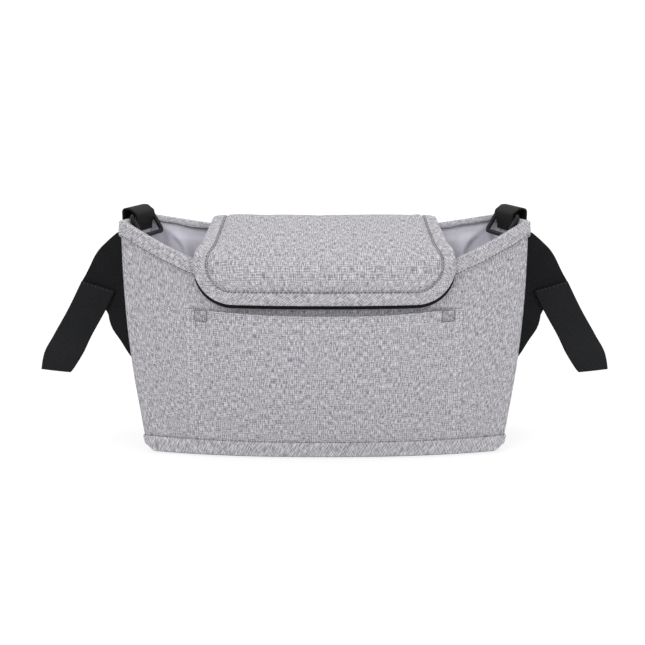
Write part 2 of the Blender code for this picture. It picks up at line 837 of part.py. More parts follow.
def corner_angle(a, b, share):
    """Turn of a rounded ring corner; the path runs once round the frame."""
    if a < 0.0 and b == 0.0:
        return math.radians(mix(270.0, 180.0, share))
    if a < 0.0:
        return math.radians(mix(180.0, 90.0, share))
    if b > 0.0:
        return math.radians(mix(90.0, 0.0, share))
    return math.radians(mix(0.0, -90.0, share))


clear_scene()
CADDY = bpy.data.collections.new("stroller_organizer")
bpy.context.scene.collection.children.link(CADDY)
FLAP_RUN = flap_length()
build_shell()
build_lining()
build_dividers()
build_mouth_binding()
build_bottom_binding()
build_pocket()
build_flap()
build_wings()
build_straps()
build_tabs_and_rings()
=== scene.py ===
# %% [markdown]
# A heather-grey caddy for a pushchair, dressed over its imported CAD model.
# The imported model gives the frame: where every seam, band and ring sits. Each cloth piece
# is laid again here on the same wall, with many more points, so that it can crease and sag.

# %% Load the frame
import math

import bmesh
import bpy
from mathutils import Matrix, Vector, noise


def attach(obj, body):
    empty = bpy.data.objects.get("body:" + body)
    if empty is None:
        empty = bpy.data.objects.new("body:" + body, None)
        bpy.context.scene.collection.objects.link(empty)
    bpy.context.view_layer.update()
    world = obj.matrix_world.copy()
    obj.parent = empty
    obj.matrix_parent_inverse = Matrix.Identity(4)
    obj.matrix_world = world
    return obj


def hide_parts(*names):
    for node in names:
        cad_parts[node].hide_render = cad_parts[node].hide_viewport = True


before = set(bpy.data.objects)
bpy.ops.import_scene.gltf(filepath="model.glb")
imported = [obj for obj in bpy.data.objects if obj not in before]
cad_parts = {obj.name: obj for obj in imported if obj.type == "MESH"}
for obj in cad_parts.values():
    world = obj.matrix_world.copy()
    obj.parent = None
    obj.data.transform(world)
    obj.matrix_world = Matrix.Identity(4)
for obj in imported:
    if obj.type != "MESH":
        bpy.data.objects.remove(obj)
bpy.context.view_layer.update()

# %% [markdown]
# The photograph was taken from a little above, with a lens that keeps a mild perspective.
# A camera on a circle round the middle of the bag is easy to check: its height over the
# floor and its distance follow from one angle and one length.

# %% Camera
VIEW_ANGLE = math.radians(13.0)
VIEW_DISTANCE = 0.932
LOOK_AT = Vector((0.0, 0.0, 0.110))
FOCAL_PIXELS = 1000.0
FRAME_PIXELS = 645.0
CENTRE_PIXELS = 2.1

camera_data = bpy.data.cameras.new("camera")
camera_data.sensor_width = 36.0
camera_data.lens = 36.0 * FOCAL_PIXELS / FRAME_PIXELS
camera_data.shift_x = -CENTRE_PIXELS / FRAME_PIXELS
camera = bpy.data.objects.new("camera", camera_data)
bpy.context.scene.collection.objects.link(camera)
away = Vector((0.0, -math.cos(VIEW_ANGLE), math.sin(VIEW_ANGLE)))
camera.location = LOOK_AT + away * VIEW_DISTANCE
camera.rotation_euler = (math.radians(90.0) - VIEW_ANGLE, 0.0, 0.0)
bpy.context.scene.camera = camera
print("camera at", [round(value, 3) for value in camera.location])

# %% [markdown]
# Colours are written as they look on a screen. Shader sockets want linear light, so one
# function turns a hex value into linear numbers. A second one adds a shader node with its
# settings and links, which keeps each recipe below short enough to read in one go.

# %% Colour and node helpers
def hex_colour(text):
    def linear(value):
        if value <= 0.04045:
            return value / 12.92
        return ((value + 0.055) / 1.055) ** 2.4
    parts = [int(text[place:place + 2], 16) / 255.0 for place in (1, 3, 5)]
    return tuple(linear(part) for part in parts) + (1.0,)


def add_node(tree, kind, inputs=None, **settings):
    """Adds a node; inputs maps a socket to a value or to another node's output."""
    node = tree.nodes.new(kind)
    for key, value in settings.items():
        setattr(node, key, value)
    for key, value in (inputs or {}).items():
        if isinstance(value, bpy.types.NodeSocket):
            tree.links.new(value, node.inputs[key])
        else:
            node.inputs[key].default_value = value
    return node


def new_material(name, roughness, metallic=0.0):
    material = bpy.data.materials.new(name)
    material.use_nodes = True
    tree = material.node_tree
    shader = tree.nodes["Principled BSDF"]
    shader.inputs["Roughness"].default_value = roughness
    shader.inputs["Metallic"].default_value = metallic
    return material, tree, shader


def ramp(tree, factor, stops):
    node = add_node(tree, "ShaderNodeValToRGB", {"Fac": factor})
    while len(node.color_ramp.elements) < len(stops):
        node.color_ramp.elements.new(0.5)
    for element, (place, colour) in zip(node.color_ramp.elements, stops):
        element.position = place
        element.color = colour
    return node.outputs["Color"]


# %% [markdown]
# The floor and the light are plain. A camera ray sees the floor mostly as white, while the
# light that reaches the bag comes from a dim even sky and three large soft lamps.

# %% Floor, sky and lamps
FLOOR_HALF = 6.0
SHADOW_NEAR = 0.34
SHADOW_FAR = 0.90
SHADOW_WHITE = 0.72


def build_stage():
    bm = bmesh.new()
    bmesh.ops.create_grid(bm, x_segments=1, y_segments=1, size=FLOOR_HALF)
    data = bpy.data.meshes.new("floor")
    bm.to_mesh(data)
    bm.free()
    floor = bpy.data.objects.new("floor", data)
    floor.location.z = -0.0004
    bpy.context.scene.collection.objects.link(floor)
    material, tree, shader = new_material("matt white paper sweep", 0.9)
    shader.inputs["Base Color"].default_value = hex_colour("#F2F2F2")
    glow = add_node(tree, "ShaderNodeEmission", {"Color": (1.0, 1.0, 1.0, 1.0), "Strength": 1.1})
    path = add_node(tree, "ShaderNodeLightPath")
    spot = add_node(tree, "ShaderNodeTexCoord")
    away = add_node(tree, "ShaderNodeVectorMath", {0: spot.outputs["Object"]}, operation="LENGTH")
    white = add_node(tree, "ShaderNodeMapRange",
                     {"Value": away.outputs["Value"], "From Min": SHADOW_NEAR,
                      "From Max": SHADOW_FAR, "To Min": SHADOW_WHITE, "To Max": 1.0},
                     interpolation_type="SMOOTHSTEP")
    share = add_node(tree, "ShaderNodeMath",
                     {0: path.outputs["Is Camera Ray"], 1: white.outputs["Result"]},
                     operation="MULTIPLY")
    blend = add_node(tree, "ShaderNodeMixShader",
                     {0: share.outputs[0], 1: shader.outputs[0], 2: glow.outputs[0]})
    tree.links.new(blend.outputs[0], tree.nodes["Material Output"].inputs["Surface"])
    data.materials.append(material)


def build_sky(strength):
    world = bpy.data.worlds.new("sky")
    world.use_nodes = True
    bpy.context.scene.world = world
    tree = world.node_tree
    back = tree.nodes["Background"]
    path = add_node(tree, "ShaderNodeLightPath")
    seen = add_node(tree, "ShaderNodeMath",
                    {0: path.outputs["Is Camera Ray"], 1: path.outputs["Is Glossy Ray"]},
                    operation="MAXIMUM")
    seen = add_node(tree, "ShaderNodeMath",
                    {0: seen.outputs[0], 1: path.outputs["Is Transmission Ray"]},
                    operation="MAXIMUM")
    level = add_node(tree, "ShaderNodeMapRange",
                     {"Value": seen.outputs[0], "To Min": strength, "To Max": 1.0})
    back.inputs["Color"].default_value = (1.0, 1.0, 1.0, 1.0)
    tree.links.new(level.outputs[0], back.inputs["Strength"])


def add_lamp(name, place, size, power):
    data = bpy.data.lights.new(name, "AREA")
    data.shape = "DISK"
    data.size = size
    data.energy = power
    lamp = bpy.data.objects.new(name, data)
    lamp.location = place
    lamp.rotation_euler = (LOOK_AT - Vector(place)).to_track_quat("-Z", "Y").to_euler()
    bpy.context.scene.collection.objects.link(lamp)


build_stage()
build_sky(0.56)
add_lamp("key_lamp", (-0.9, -1.5, 1.7), 1.1, 18.0)
add_lamp("fill_lamp", (1.4, -1.3, 0.9), 1.4, 9.0)
add_lamp("top_lamp", (0.1, 0.4, 1.9), 1.2, 12.0)
print("lamps", 3)

# %% [markdown]
# The bag's outer wall is one closed outline at every height: a bowed front, two narrow
# gussets and a flat back. wall_point() gives any place on it, moved out or in, so that
# layers of cloth nest without touching. The sizes are those of the CAD part, in metres.

# %% Sizes of the bag
TOP_HALF_WIDTH = 0.181
BASE_HALF_WIDTH = 0.1595
BACK_TOP_HALF_WIDTH = 0.1655
BACK_BASE_HALF_WIDTH = 0.1545
WIDTH_TAPER = 2.25
BACK_Y = 0.032
CORNER_TOP_Y = -0.022
CORNER_BASE_Y = -0.044
FRONT_MOUTH_REACH = 0.060
FRONT_BULGE = 0.012
FRONT_BOW = 2.4
RIM_CORNER = 0.2065
FRONT_RIM_MID = 0.1645
BACK_RIM_MID = 0.1920
BACK_RIM_CURVE = 1.05
RIM_FLAT_HALF = 0.42
RIM_CURVE = 1.3
GAP = 0.0005
PANEL = 0.0024
LINING = 0.0010
TAPE = 0.0012
POCKET = 0.0014
BASE_CLOTH = 0.0030
WALL_FLOOR = BASE_CLOTH + GAP
LINING_FLOOR = 0.0060
LINING_DEPTH = PANEL + GAP
TAPE_OUT = GAP + 0.5 * TAPE
TAPE_IN = LINING_DEPTH + LINING + GAP + 0.5 * TAPE


# %% The wall of the bag
def clamp(value, low=0.0, high=1.0):
    return max(low, min(high, value))


def mix(a, b, t):
    return a + (b - a) * t


def ease(value, low, high):
    t = clamp((value - low) / (high - low))
    return t * t * (3.0 - 2.0 * t)


def taper(z):
    return clamp(1.0 - z / RIM_CORNER) ** WIDTH_TAPER


def front_half_width(z):
    return mix(TOP_HALF_WIDTH, BASE_HALF_WIDTH, taper(z))


def back_half_width(z):
    return mix(BACK_TOP_HALF_WIDTH, BACK_BASE_HALF_WIDTH, taper(z))


def corner_y(z):
    return mix(CORNER_BASE_Y, CORNER_TOP_Y, clamp(z / RIM_CORNER))


def rim_rise(u, curve=RIM_CURVE):
    return (max(0.0, abs(u) - RIM_FLAT_HALF) / (1.0 - RIM_FLAT_HALF)) ** curve


def front_rim(u):
    return mix(FRONT_RIM_MID, RIM_CORNER, rim_rise(u))


def back_rim(u):
    return mix(BACK_RIM_MID, RIM_CORNER, rim_rise(u, BACK_RIM_CURVE))


def front_y(u, z):
    share = clamp(z / front_rim(u))
    reach = FRONT_MOUTH_REACH + FRONT_BULGE * math.sin(math.pi * share)
    bow = 1.0 - abs(u) ** FRONT_BOW
    return mix(corner_y(z), -reach, bow)


def wall_xy(side, t, z):
    """Outer face of one side; t runs 0 to 1, anticlockwise seen from above."""
    if side == 0:
        u = 2.0 * t - 1.0
        return Vector((u * front_half_width(z), front_y(u, z), 0.0))
    if side == 2:
        return Vector(((1.0 - 2.0 * t) * back_half_width(z), BACK_Y, 0.0))
    start = Vector((front_half_width(z), corner_y(z), 0.0))
    end = Vector((back_half_width(z), BACK_Y, 0.0))
    if side == 1:
        return start.lerp(end, t)
    start.x = -start.x
    end.x = -end.x
    return end.lerp(start, t)


def side_normal(side, t, z):
    low = clamp(t - 0.004)
    high = clamp(t + 0.004)
    along = wall_xy(side, high, z) - wall_xy(side, low, z)
    return Vector((along.y, -along.x, 0.0)).normalized()


# %% [markdown]
# Cloth that stands in a photograph is never quite even. Two slow waves of noise, a few
# millimetres at most, push every layer of the wall in and out together. Because the layers
# move as one, they stay nested.

# %% Soft unevenness of the cloth
def relief(side, t, z):
    """How far the cloth stands proud of the plain wall at this place."""
    point = wall_xy(side, t, z)
    point.z = z
    slow = noise.noise(point * 13.0 + Vector((3.1, 0.4, 1.7)))
    quick = noise.noise(point * 34.0 + Vector((0.2, 5.3, 2.9)))
    hold = ease(z, 0.0, 0.030)
    seam = math.sin(math.pi * clamp(t)) ** 0.5
    return hold * seam * (0.0011 * slow + 0.00045 * quick)


def side_of(s):
    return int(math.floor(s)) % 4


def wall_point(s, z, out_a, out_b=None):
    """Point at place s and height z, moved outwards; corners are mitred between sides."""
    out_b = out_a if out_b is None else out_b
    side = side_of(s)
    t = s - math.floor(s)
    normal = side_normal(side, t, z)
    if t > 1e-6:
        point = wall_xy(side, t, z) + normal * (out_a + relief(side, t, z))
    else:
        before = side_normal((side + 3) % 4, 1.0, z)
        cross = normal.x * before.y - normal.y * before.x
        shift_x = (out_a * before.y - out_b * normal.y) / cross
        shift_y = (out_b * normal.x - out_a * before.x) / cross
        point = wall_xy(side, 0.0, z) + Vector((shift_x, shift_y, 0.0))
    point.z = z
    return point


def panel_point(side, t, z, out):
    normal = side_normal(side, t, z)
    point = wall_xy(side, t, z) + normal * (out + relief(side, t, z))
    point.z = z
    return point


def rim_at(s):
    side = side_of(s)
    t = s - math.floor(s)
    if side == 0:
        return front_rim(2.0 * t - 1.0)
    if side == 2:
        return back_rim(1.0 - 2.0 * t)
    return RIM_CORNER


def round_places(front=96, gusset=12, back=56):
    places = []
    for side, count in enumerate((front, gusset, back, gusset)):
        places += [side + step / count for step in range(count)]
    return places


def corner_places(front, gusset, back):
    """Round places with extra ones close to each corner."""
    places = round_places(front, gusset, back)
    for side, count in enumerate((front, gusset, back, gusset)):
        for share in (0.25, 0.5, 0.75):
            places += [side + share / count, side + 1.0 - share / count]
    return sorted(places)


FOOT_ROUND = 0.0062
FOOT_REACH = 0.0075


def foot_rise(side, t):
    """How far the bottom edge lifts towards a front corner, where the soft cloth rounds off."""
    start, end = wall_xy(side, 0.0, WALL_FLOOR), wall_xy(side, 1.0, WALL_FLOOR)
    away = (min(t, 1.0 - t), t, 1.0, 1.0 - t)[side] * (end - start).length
    return FOOT_ROUND * clamp(1.0 - away / FOOT_REACH) ** 2


# %% [markdown]
# Every cloth piece starts as a flat grid. Its UV map is laid out in metres as the cloth was
# cut, so a thread is the same width everywhere. Then each point is moved to its place.

# %% Laying a grid
def laid_grid(columns, rows, place, size):
    """Grid moved point by point; size is its cut size, or a function that gives the cut."""
    bm = bmesh.new()
    bmesh.ops.create_grid(bm, x_segments=columns, y_segments=rows, size=0.5)
    layer = bm.loops.layers.uv.new("cut")
    for face in bm.faces:
        face.smooth = True
        for loop in face.loops:
            across, up = loop.vert.co.x + 0.5, loop.vert.co.y + 0.5
            if callable(size):
                loop[layer].uv = size(round(across * columns), round(up * rows))
            else:
                loop[layer].uv = (across * size[0], up * size[1])
    for vertex in bm.verts:
        i = round((vertex.co.x + 0.5) * columns)
        j = round((vertex.co.y + 0.5) * rows)
        vertex.co = place(i, j)
    return bm


def finish_piece(name, bm, material, body="bag", node=None):
    data = bpy.data.meshes.new(name)
    bm.to_mesh(data)
    bm.free()
    piece = bpy.data.objects.new(name, data)
    bpy.context.scene.collection.objects.link(piece)
    data.materials.append(material)
    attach(piece, body)
    if node:
        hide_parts(node)
    print(name, len(data.polygons), "faces")
    return piece


def measured(points):
    """Running length along a row of points."""
    lengths = [0.0]
    for a, b in zip(points, points[1:]):
        lengths.append(lengths[-1] + (Vector(b) - Vector(a)).length)
    return lengths


def cut_in_metres(bm, travel, reach):
    """Sets the UV of a unit grid to real lengths along and across the tape."""
    layer = bm.loops.layers.uv["cut"]
    for face in bm.faces:
        for loop in face.loops:
            i = round(loop[layer].uv.x * (len(travel) - 1))
            j = round(loop[layer].uv.y * (len(reach) - 1))
            loop[layer].uv = (travel[i], reach[j])


def thicken(piece, thickness, offset, group="", even=True):
    cloth = piece.modifiers.new("cloth", "SOLIDIFY")
    cloth.thickness = thickness
    cloth.offset = offset
    cloth.use_even_offset = even
    cloth.use_quality_normals = even
    if group:
        cloth.vertex_group = group
    return cloth


def round_edges(piece, width, segments=2):
    edge = piece.modifiers.new("edge", "BEVEL")
    edge.width = width
    edge.segments = segments
    edge.limit_method = "ANGLE"
    edge.angle_limit = math.radians(50.0)
    return edge


# %% [markdown]
# The outer cloth is melange polyester in plain weave, laminated to thin foam. Its yarn is
# spun from light and dark fibres, so each thread changes shade along its length. Threads are
# 0.5 mm, too fine for the render, so the slubs are drawn 0.7 mm wide and 5 mm long. The
# upright warp shows a little more than the weft, and faint lines 1.8 mm apart stand for
# the rows of the weave.

# %% Melange cloth
SLUB_WIDTH = 0.0007
SLUB_LENGTH = 0.0050
WARP_SHARE = 0.60
WEAVE_PITCH = 0.0018
WEAVE_SHARE = 0.11


def melange_material(name, dark, middle, light, turn=0.0, stitch=None):
    material, tree, shader = new_material(name, 0.9)
    shader.inputs["Sheen Weight"].default_value = 0.12
    shader.inputs["Sheen Roughness"].default_value = 0.6
    shader.inputs["Specular IOR Level"].default_value = 0.25
    cut = add_node(tree, "ShaderNodeUVMap", uv_map="cut")
    turned = add_node(tree, "ShaderNodeMapping",
                      {"Vector": cut.outputs[0], "Rotation": (0.0, 0.0, turn)})
    threads = []
    along, across = 1.0 / SLUB_LENGTH, 1.0 / SLUB_WIDTH
    for scale in ((along, across, 1.0), (across, along, 1.0)):
        stretched = add_node(tree, "ShaderNodeMapping",
                             {"Vector": turned.outputs[0], "Scale": scale})
        slub = add_node(tree, "ShaderNodeTexNoise",
                        {"Vector": stretched.outputs[0], "Scale": 1.0, "Detail": 1.0,
                         "Roughness": 0.5})
        threads.append(slub.outputs["Fac"])
    weft = add_node(tree, "ShaderNodeMath", {0: threads[0], 1: 1.0 - WARP_SHARE},
                    operation="MULTIPLY")
    half = add_node(tree, "ShaderNodeMath",
                    {0: threads[1], 1: WARP_SHARE, 2: weft.outputs[0]}, operation="MULTIPLY_ADD")
    ribs = []
    for direction in ("X", "Y"):
        wave = add_node(tree, "ShaderNodeTexWave",
                        {"Vector": turned.outputs[0], "Scale": 0.314 / WEAVE_PITCH,
                         "Distortion": 0.6, "Detail": 1.0, "Detail Scale": 2.0},
                        wave_type="BANDS", bands_direction=direction)
        ribs.append(wave.outputs["Fac"])
    lines = add_node(tree, "ShaderNodeMath", {0: ribs[0], 1: ribs[1]}, operation="ADD")
    level = 0.5 * WEAVE_SHARE
    shade = add_node(tree, "ShaderNodeMath",
                     {0: lines.outputs[0], 1: level, 2: half.outputs[0]},
                     operation="MULTIPLY_ADD")
    colour = ramp(tree, shade.outputs[0], (
        (0.37 + level, hex_colour(dark)), (0.50 + level, hex_colour(middle)),
        (0.62 + level, hex_colour(light))))
    weave = add_node(tree, "ShaderNodeMath", {0: ribs[0], 1: ribs[1]}, operation="MULTIPLY")
    height = add_node(tree, "ShaderNodeMath", {0: weave.outputs[0], 1: half.outputs[0]},
                      operation="ADD")
    if stitch:
        colour, height = stitch(tree, cut.outputs[0], colour, height.outputs[0])
    else:
        height = height.outputs[0]
    bump = add_node(tree, "ShaderNodeBump",
                    {"Height": height, "Strength": 0.55, "Distance": 0.0004})
    tree.links.new(colour, shader.inputs["Base Color"])
    tree.links.new(bump.outputs[0], shader.inputs["Normal"])
    return material


MELANGE = ("#75737A", "#A8A6AB", "#D2D0D5")
outer_cloth = melange_material("melange polyester, plain weave", *MELANGE)
print("outer cloth", MELANGE)

# %% [markdown]
# Bias tape is the same cloth cut across its threads, so the weave runs at 45 degrees. One
# row of stitches near its inner edge pulls a groove, sunk by a bump. The groove's shade is
# painted into the colour as a dark line, weaker where the thread lies. Both are drawn from
# the UV map, whose second number is the distance from the tape's edge.

# %% Bias tape
STITCH_PITCH = 0.0036
STITCH_SHARE = 0.62
GROOVE_HALF = 0.0008


TAPE_MELANGE = ("#7A787F", "#AAA8AD", "#D2D0D5")
# A paler copy of the tape colours, painted light: the bottom tape is the same cloth, lightened
# because the foot of the bag gets less light.
PAINTED_LIGHT_MELANGE = ("#858389", "#AFADB2", "#D5D3D8")


def tape_material(name, stitch_rows, shades=TAPE_MELANGE):
    def stitch(tree, cut, colour, height):
        place = add_node(tree, "ShaderNodeSeparateXYZ", {0: cut})
        along, across = place.outputs[0], place.outputs[1]
        groove = None
        for row in stitch_rows:
            away = add_node(tree, "ShaderNodeMath", {0: across, 1: row}, operation="SUBTRACT")
            away = add_node(tree, "ShaderNodeMath", {0: away.outputs[0]}, operation="ABSOLUTE")
            line = add_node(tree, "ShaderNodeMapRange",
                            {"Value": away.outputs[0], "From Min": 0.3 * GROOVE_HALF,
                             "From Max": GROOVE_HALF, "To Min": 1.0, "To Max": 0.0},
                            interpolation_type="SMOOTHSTEP")
            if groove is None:
                groove = line.outputs[0]
            else:
                groove = add_node(tree, "ShaderNodeMath", {0: groove, 1: line.outputs[0]},
                                  operation="MAXIMUM").outputs[0]
        beat = add_node(tree, "ShaderNodeMath", {0: along, 1: STITCH_PITCH}, operation="MODULO")
        gap = add_node(tree, "ShaderNodeMath",
                       {0: beat.outputs[0], 1: STITCH_PITCH * STITCH_SHARE},
                       operation="GREATER_THAN")
        # Painted shade of the groove: full strength between stitches, 0.45 of it where the thread
        # lies.
        depth = add_node(tree, "ShaderNodeMapRange",
                         {"Value": gap.outputs[0], "To Min": 0.45, "To Max": 1.0})
        dark = add_node(tree, "ShaderNodeMath", {0: groove, 1: depth.outputs[0]},
                        operation="MULTIPLY")
        # The groove's painted shade is mixed into the colour as #4B4A50.
        shade = add_node(tree, "ShaderNodeMix",
                         {"Factor": dark.outputs[0], 6: colour, 7: hex_colour("#4B4A50")},
                         data_type="RGBA")
        sunk = add_node(tree, "ShaderNodeMath", {0: groove, 1: -2.4}, operation="MULTIPLY")
        low = add_node(tree, "ShaderNodeMath", {0: height, 1: sunk.outputs[0]}, operation="ADD")
        return shade.outputs[2], low.outputs[0]
    return melange_material(name, *shades, math.radians(45.0), stitch)


MOUTH_BAND = 0.0120
# Each stitch row below carries a painted groove shade.
rim_tape = tape_material("melange polyester, bias tape", (0.0012, 2.0 * MOUTH_BAND + 0.0035))
# The bottom tape takes the paler copy of the tape colours, which is painted light.
flat_tape = tape_material("melange polyester, bottom tape", (0.0131,), PAINTED_LIGHT_MELANGE)
print("tape stitches every", STITCH_PITCH * 1000, "mm")

# %% [markdown]
# The lining is a smooth filament polyester. It has no slubs, only a faint plain weave, and
# it shines a little more than the outer cloth. Its lilac tint shows in the open ends.

# %% Lining cloth
def lining_material():
    material, tree, shader = new_material("filament polyester lining, lilac grey", 0.62)
    shader.inputs["Sheen Weight"].default_value = 0.15
    cut = add_node(tree, "ShaderNodeUVMap", uv_map="cut")
    cloud = add_node(tree, "ShaderNodeTexNoise",
                     {"Vector": cut.outputs[0], "Scale": 60.0, "Detail": 3.0})
    colour = ramp(tree, cloud.outputs["Fac"], (
        (0.30, hex_colour("#E3E1EC")), (0.70, hex_colour("#ECEAF3"))))
    rib = add_node(tree, "ShaderNodeTexWave",
                   {"Vector": cut.outputs[0], "Scale": 0.314 / 0.0010, "Distortion": 0.3},
                   wave_type="BANDS", bands_direction="DIAGONAL")
    bump = add_node(tree, "ShaderNodeBump",
                    {"Height": rib.outputs["Fac"], "Strength": 0.25, "Distance": 0.0002})
    tree.links.new(colour, shader.inputs["Base Color"])
    tree.links.new(bump.outputs[0], shader.inputs["Normal"])
    return material


lining_cloth = lining_material()
print("lining", lining_cloth.name)

# %% [markdown]
# Black parts are three things: ribbed nylon webbing, fastening tape with a fine streaky
# pile, and satin ABS rings from a mould. Black cloth is never fully black, so each has
# ribs or streaks a shade lighter.

# %% Webbing, fastening tape and plastic
def ribbed_material(name, base, ridge, rib_pitch, direction, roughness):
    material, tree, shader = new_material(name, roughness)
    shader.inputs["Sheen Weight"].default_value = 0.02
    shader.inputs["Specular IOR Level"].default_value = 0.2
    cut = add_node(tree, "ShaderNodeUVMap", uv_map="cut")
    rib = add_node(tree, "ShaderNodeTexWave",
                   {"Vector": cut.outputs[0], "Scale": 0.314 / rib_pitch, "Distortion": 0.8,
                    "Detail": 2.0, "Detail Scale": 3.0},
                   wave_type="BANDS", bands_direction=direction)
    colour = ramp(tree, rib.outputs["Fac"], ((0.2, hex_colour(base)), (0.95, hex_colour(ridge))))
    bump = add_node(tree, "ShaderNodeBump",
                    {"Height": rib.outputs["Fac"], "Strength": 0.6, "Distance": 0.0003})
    tree.links.new(colour, shader.inputs["Base Color"])
    tree.links.new(bump.outputs[0], shader.inputs["Normal"])
    return material


def plastic_material():
    material, tree, shader = new_material("ABS, moulded satin black", 0.50)
    shader.inputs["Base Color"].default_value = hex_colour("#060607")
    shader.inputs["Specular IOR Level"].default_value = 0.25
    spot = add_node(tree, "ShaderNodeTexCoord")
    grain = add_node(tree, "ShaderNodeTexNoise",
                     {"Vector": spot.outputs["Object"], "Scale": 2200.0, "Detail": 2.0})
    bump = add_node(tree, "ShaderNodeBump",
                    {"Height": grain.outputs["Fac"], "Strength": 0.15, "Distance": 0.0001})
    tree.links.new(bump.outputs[0], shader.inputs["Normal"])
    return material


webbing = ribbed_material("nylon webbing, black ribbed", "#030404", "#0A0B0D", 0.0016, "Y", 0.72)
wing_cloth = ribbed_material("nylon cloth, black twill", "#070809", "#131417", 0.0012, "DIAGONAL",
                             0.78)
hook_tape = ribbed_material("hook fastening tape, black", "#060708", "#17181B", 0.0014, "X", 0.66)
ring_plastic = plastic_material()
board_sheet, _, board_shader = new_material("polypropylene sheet, pale", 0.6)
board_shader.inputs["Base Color"].default_value = hex_colour("#D2D0CA")
print("black finishes", 4)

# %% [markdown]
# The front, back and two gussets are cut panels. Each is one grid on its side of the wall,
# then given the thickness of foam-backed cloth.

# %% Outer panels
def cloth_panel(name, node, side, columns, rows, top, out, thickness, inset=(0.0, 0.0)):
    width = 2.0 * TOP_HALF_WIDTH if side in (0, 2) else BACK_Y - CORNER_TOP_Y

    def place(i, j):
        t = mix(inset[0], 1.0 - inset[1], i / columns)
        z = mix(WALL_FLOOR + foot_rise(side, t), top(t), j / rows)
        return panel_point(side, t, z, out(t, z))
    bm = laid_grid(columns, rows, place, (width, RIM_CORNER))
    piece = finish_piece(name, bm, outer_cloth, node=node)
    thicken(piece, thickness, -1.0)
    return piece


POCKET_TOP = 0.1347
POCKET_MOUTH_HALF = 0.1078
POCKET_MOUTH_DIP = 0.0030
POCKET_GAPE = 0.0058
PATCH_HALF = 0.1216
PATCH_RISE = 0.0005
SHELL = 0.0012
SUNK = 0.0014
SEAM_RISE = 0.0018


def pocket_mouth(x):
    """Height of the pocket's upper edge at a distance from the centre line."""
    return POCKET_TOP - POCKET_MOUTH_DIP * (1.0 - clamp(abs(x) / POCKET_MOUTH_HALF) ** 2)


def foot_swell(z):
    """The seam allowances in the bottom tape push the cloth out."""
    return SEAM_RISE * (1.0 - ease(z, 0.010, 0.045))


def flush(t, z):
    return 0.0


def front_out(t, z):
    """The front lies deeper where the pocket patch covers it, so the patch sits almost flush."""
    x = abs(2.0 * t - 1.0) * front_half_width(z)
    beside = ease(x, PATCH_HALF - 0.0045, PATCH_HALF - 0.0008)
    above = ease(z, pocket_mouth(x) - 0.001, pocket_mouth(x) + 0.005)
    return mix(-SUNK * (1.0 - above), foot_swell(z), beside)


seam = (PANEL + GAP) / (BACK_Y - CORNER_TOP_Y)
front_cloth = cloth_panel("front_cloth", "front_panel", 0, 192, 60,
                          lambda t: front_rim(2.0 * t - 1.0), front_out, SHELL)
back_cloth = cloth_panel("back_cloth", "back_panel", 2, 56, 40,
                         lambda t: back_rim(1.0 - 2.0 * t), flush, PANEL)
cloth_panel("right_gusset_cloth", "right_gusset", 1, 14, 50,
            lambda t: RIM_CORNER, flush, PANEL, (1.45 * seam, seam))
cloth_panel("left_gusset_cloth", "left_gusset", 3, 14, 50,
            lambda t: RIM_CORNER, flush, PANEL, (seam, 1.45 * seam))

# %% [markdown]
# The base is a flat panel with the outline of the wall. A filled circle of points is moved
# to that outline, inset once so the edge can round, and given its thickness upwards.

# %% Base panel
def build_base():
    places = corner_places(48, 6, 28)
    outline = [wall_point(s, WALL_FLOOR, -0.8 * foot_rise(side_of(s), s - math.floor(s)))
               for s in places]
    bm = bmesh.new()
    bmesh.ops.create_circle(bm, cap_ends=True, segments=len(outline), radius=1.0)
    bm.verts.ensure_lookup_table()
    layer = bm.loops.layers.uv.new("cut")
    for vertex, point in zip(bm.verts, outline):
        vertex.co = (point.x, point.y, 0.0)
    for face in bm.faces:
        face.normal_update()
        if face.normal.z < 0.0:
            face.normal_flip()
        for loop in face.loops:
            loop[layer].uv = (loop.vert.co.x, loop.vert.co.y)
    bmesh.ops.inset_region(bm, faces=bm.faces, thickness=0.004)
    piece = finish_piece("base_cloth", bm, outer_cloth, node="base_panel")
    thicken(piece, BASE_CLOTH, 1.0)
    round_edges(piece, 0.0008)


build_base()

# %% [markdown]
# The lining is a tub that hangs from the rim. A closed band of grid makes its wall and a
# filled loop its floor. Near the rim the loose cloth falls in soft folds.

# %% Lining
FOLD_FOOT_X = 0.1285
FOLD_SWEEP = 0.0280
FOLD_CURVE = 7.0
FOLD_FOOT_Z = 0.1200
FOLD_RISE = 0.0770
FOLD_SLOPE = 0.0052
FOLD_STEEP = 0.0019
FOLD_DEPTH = 0.0066


def lining_fold(s, z):
    """Inward fall of the loose lining, in metres."""
    side = side_of(s)
    t = s - math.floor(s)
    if side not in (0, 2):
        return 0.0
    x = abs(wall_xy(side, t, z).x)
    below_rim = 1.0 - ease(z, rim_at(s) - MOUTH_BAND - 0.004, rim_at(s) - MOUTH_BAND)
    sway = 0.5 + 0.5 * math.sin(80.0 * x + 26.0 * z)
    fold = 0.0012 * sway * ease(z, 0.050, 0.120)
    if side == 2:
        climb = clamp((z - FOLD_FOOT_Z) / FOLD_RISE)
        ridge = FOLD_FOOT_X + FOLD_SWEEP * climb ** FOLD_CURVE
        lean = FOLD_CURVE * FOLD_SWEEP / FOLD_RISE * climb ** (FOLD_CURVE - 1.0)
        across = (x - ridge) / math.hypot(1.0, lean) / (FOLD_STEEP if x > ridge else FOLD_SLOPE)
        fold += FOLD_DEPTH * math.exp(-across * across) * ease(z, FOLD_FOOT_Z, FOLD_FOOT_Z + 0.035)
        across = (x - ridge + 0.024) / (2.0 * FOLD_SLOPE)
        fold += 0.3 * FOLD_DEPTH * math.exp(-across * across) * ease(z, 0.09, 0.15)
    return fold * mix(0.35, 1.0, below_rim) * math.sin(math.pi * clamp(t)) ** 0.3


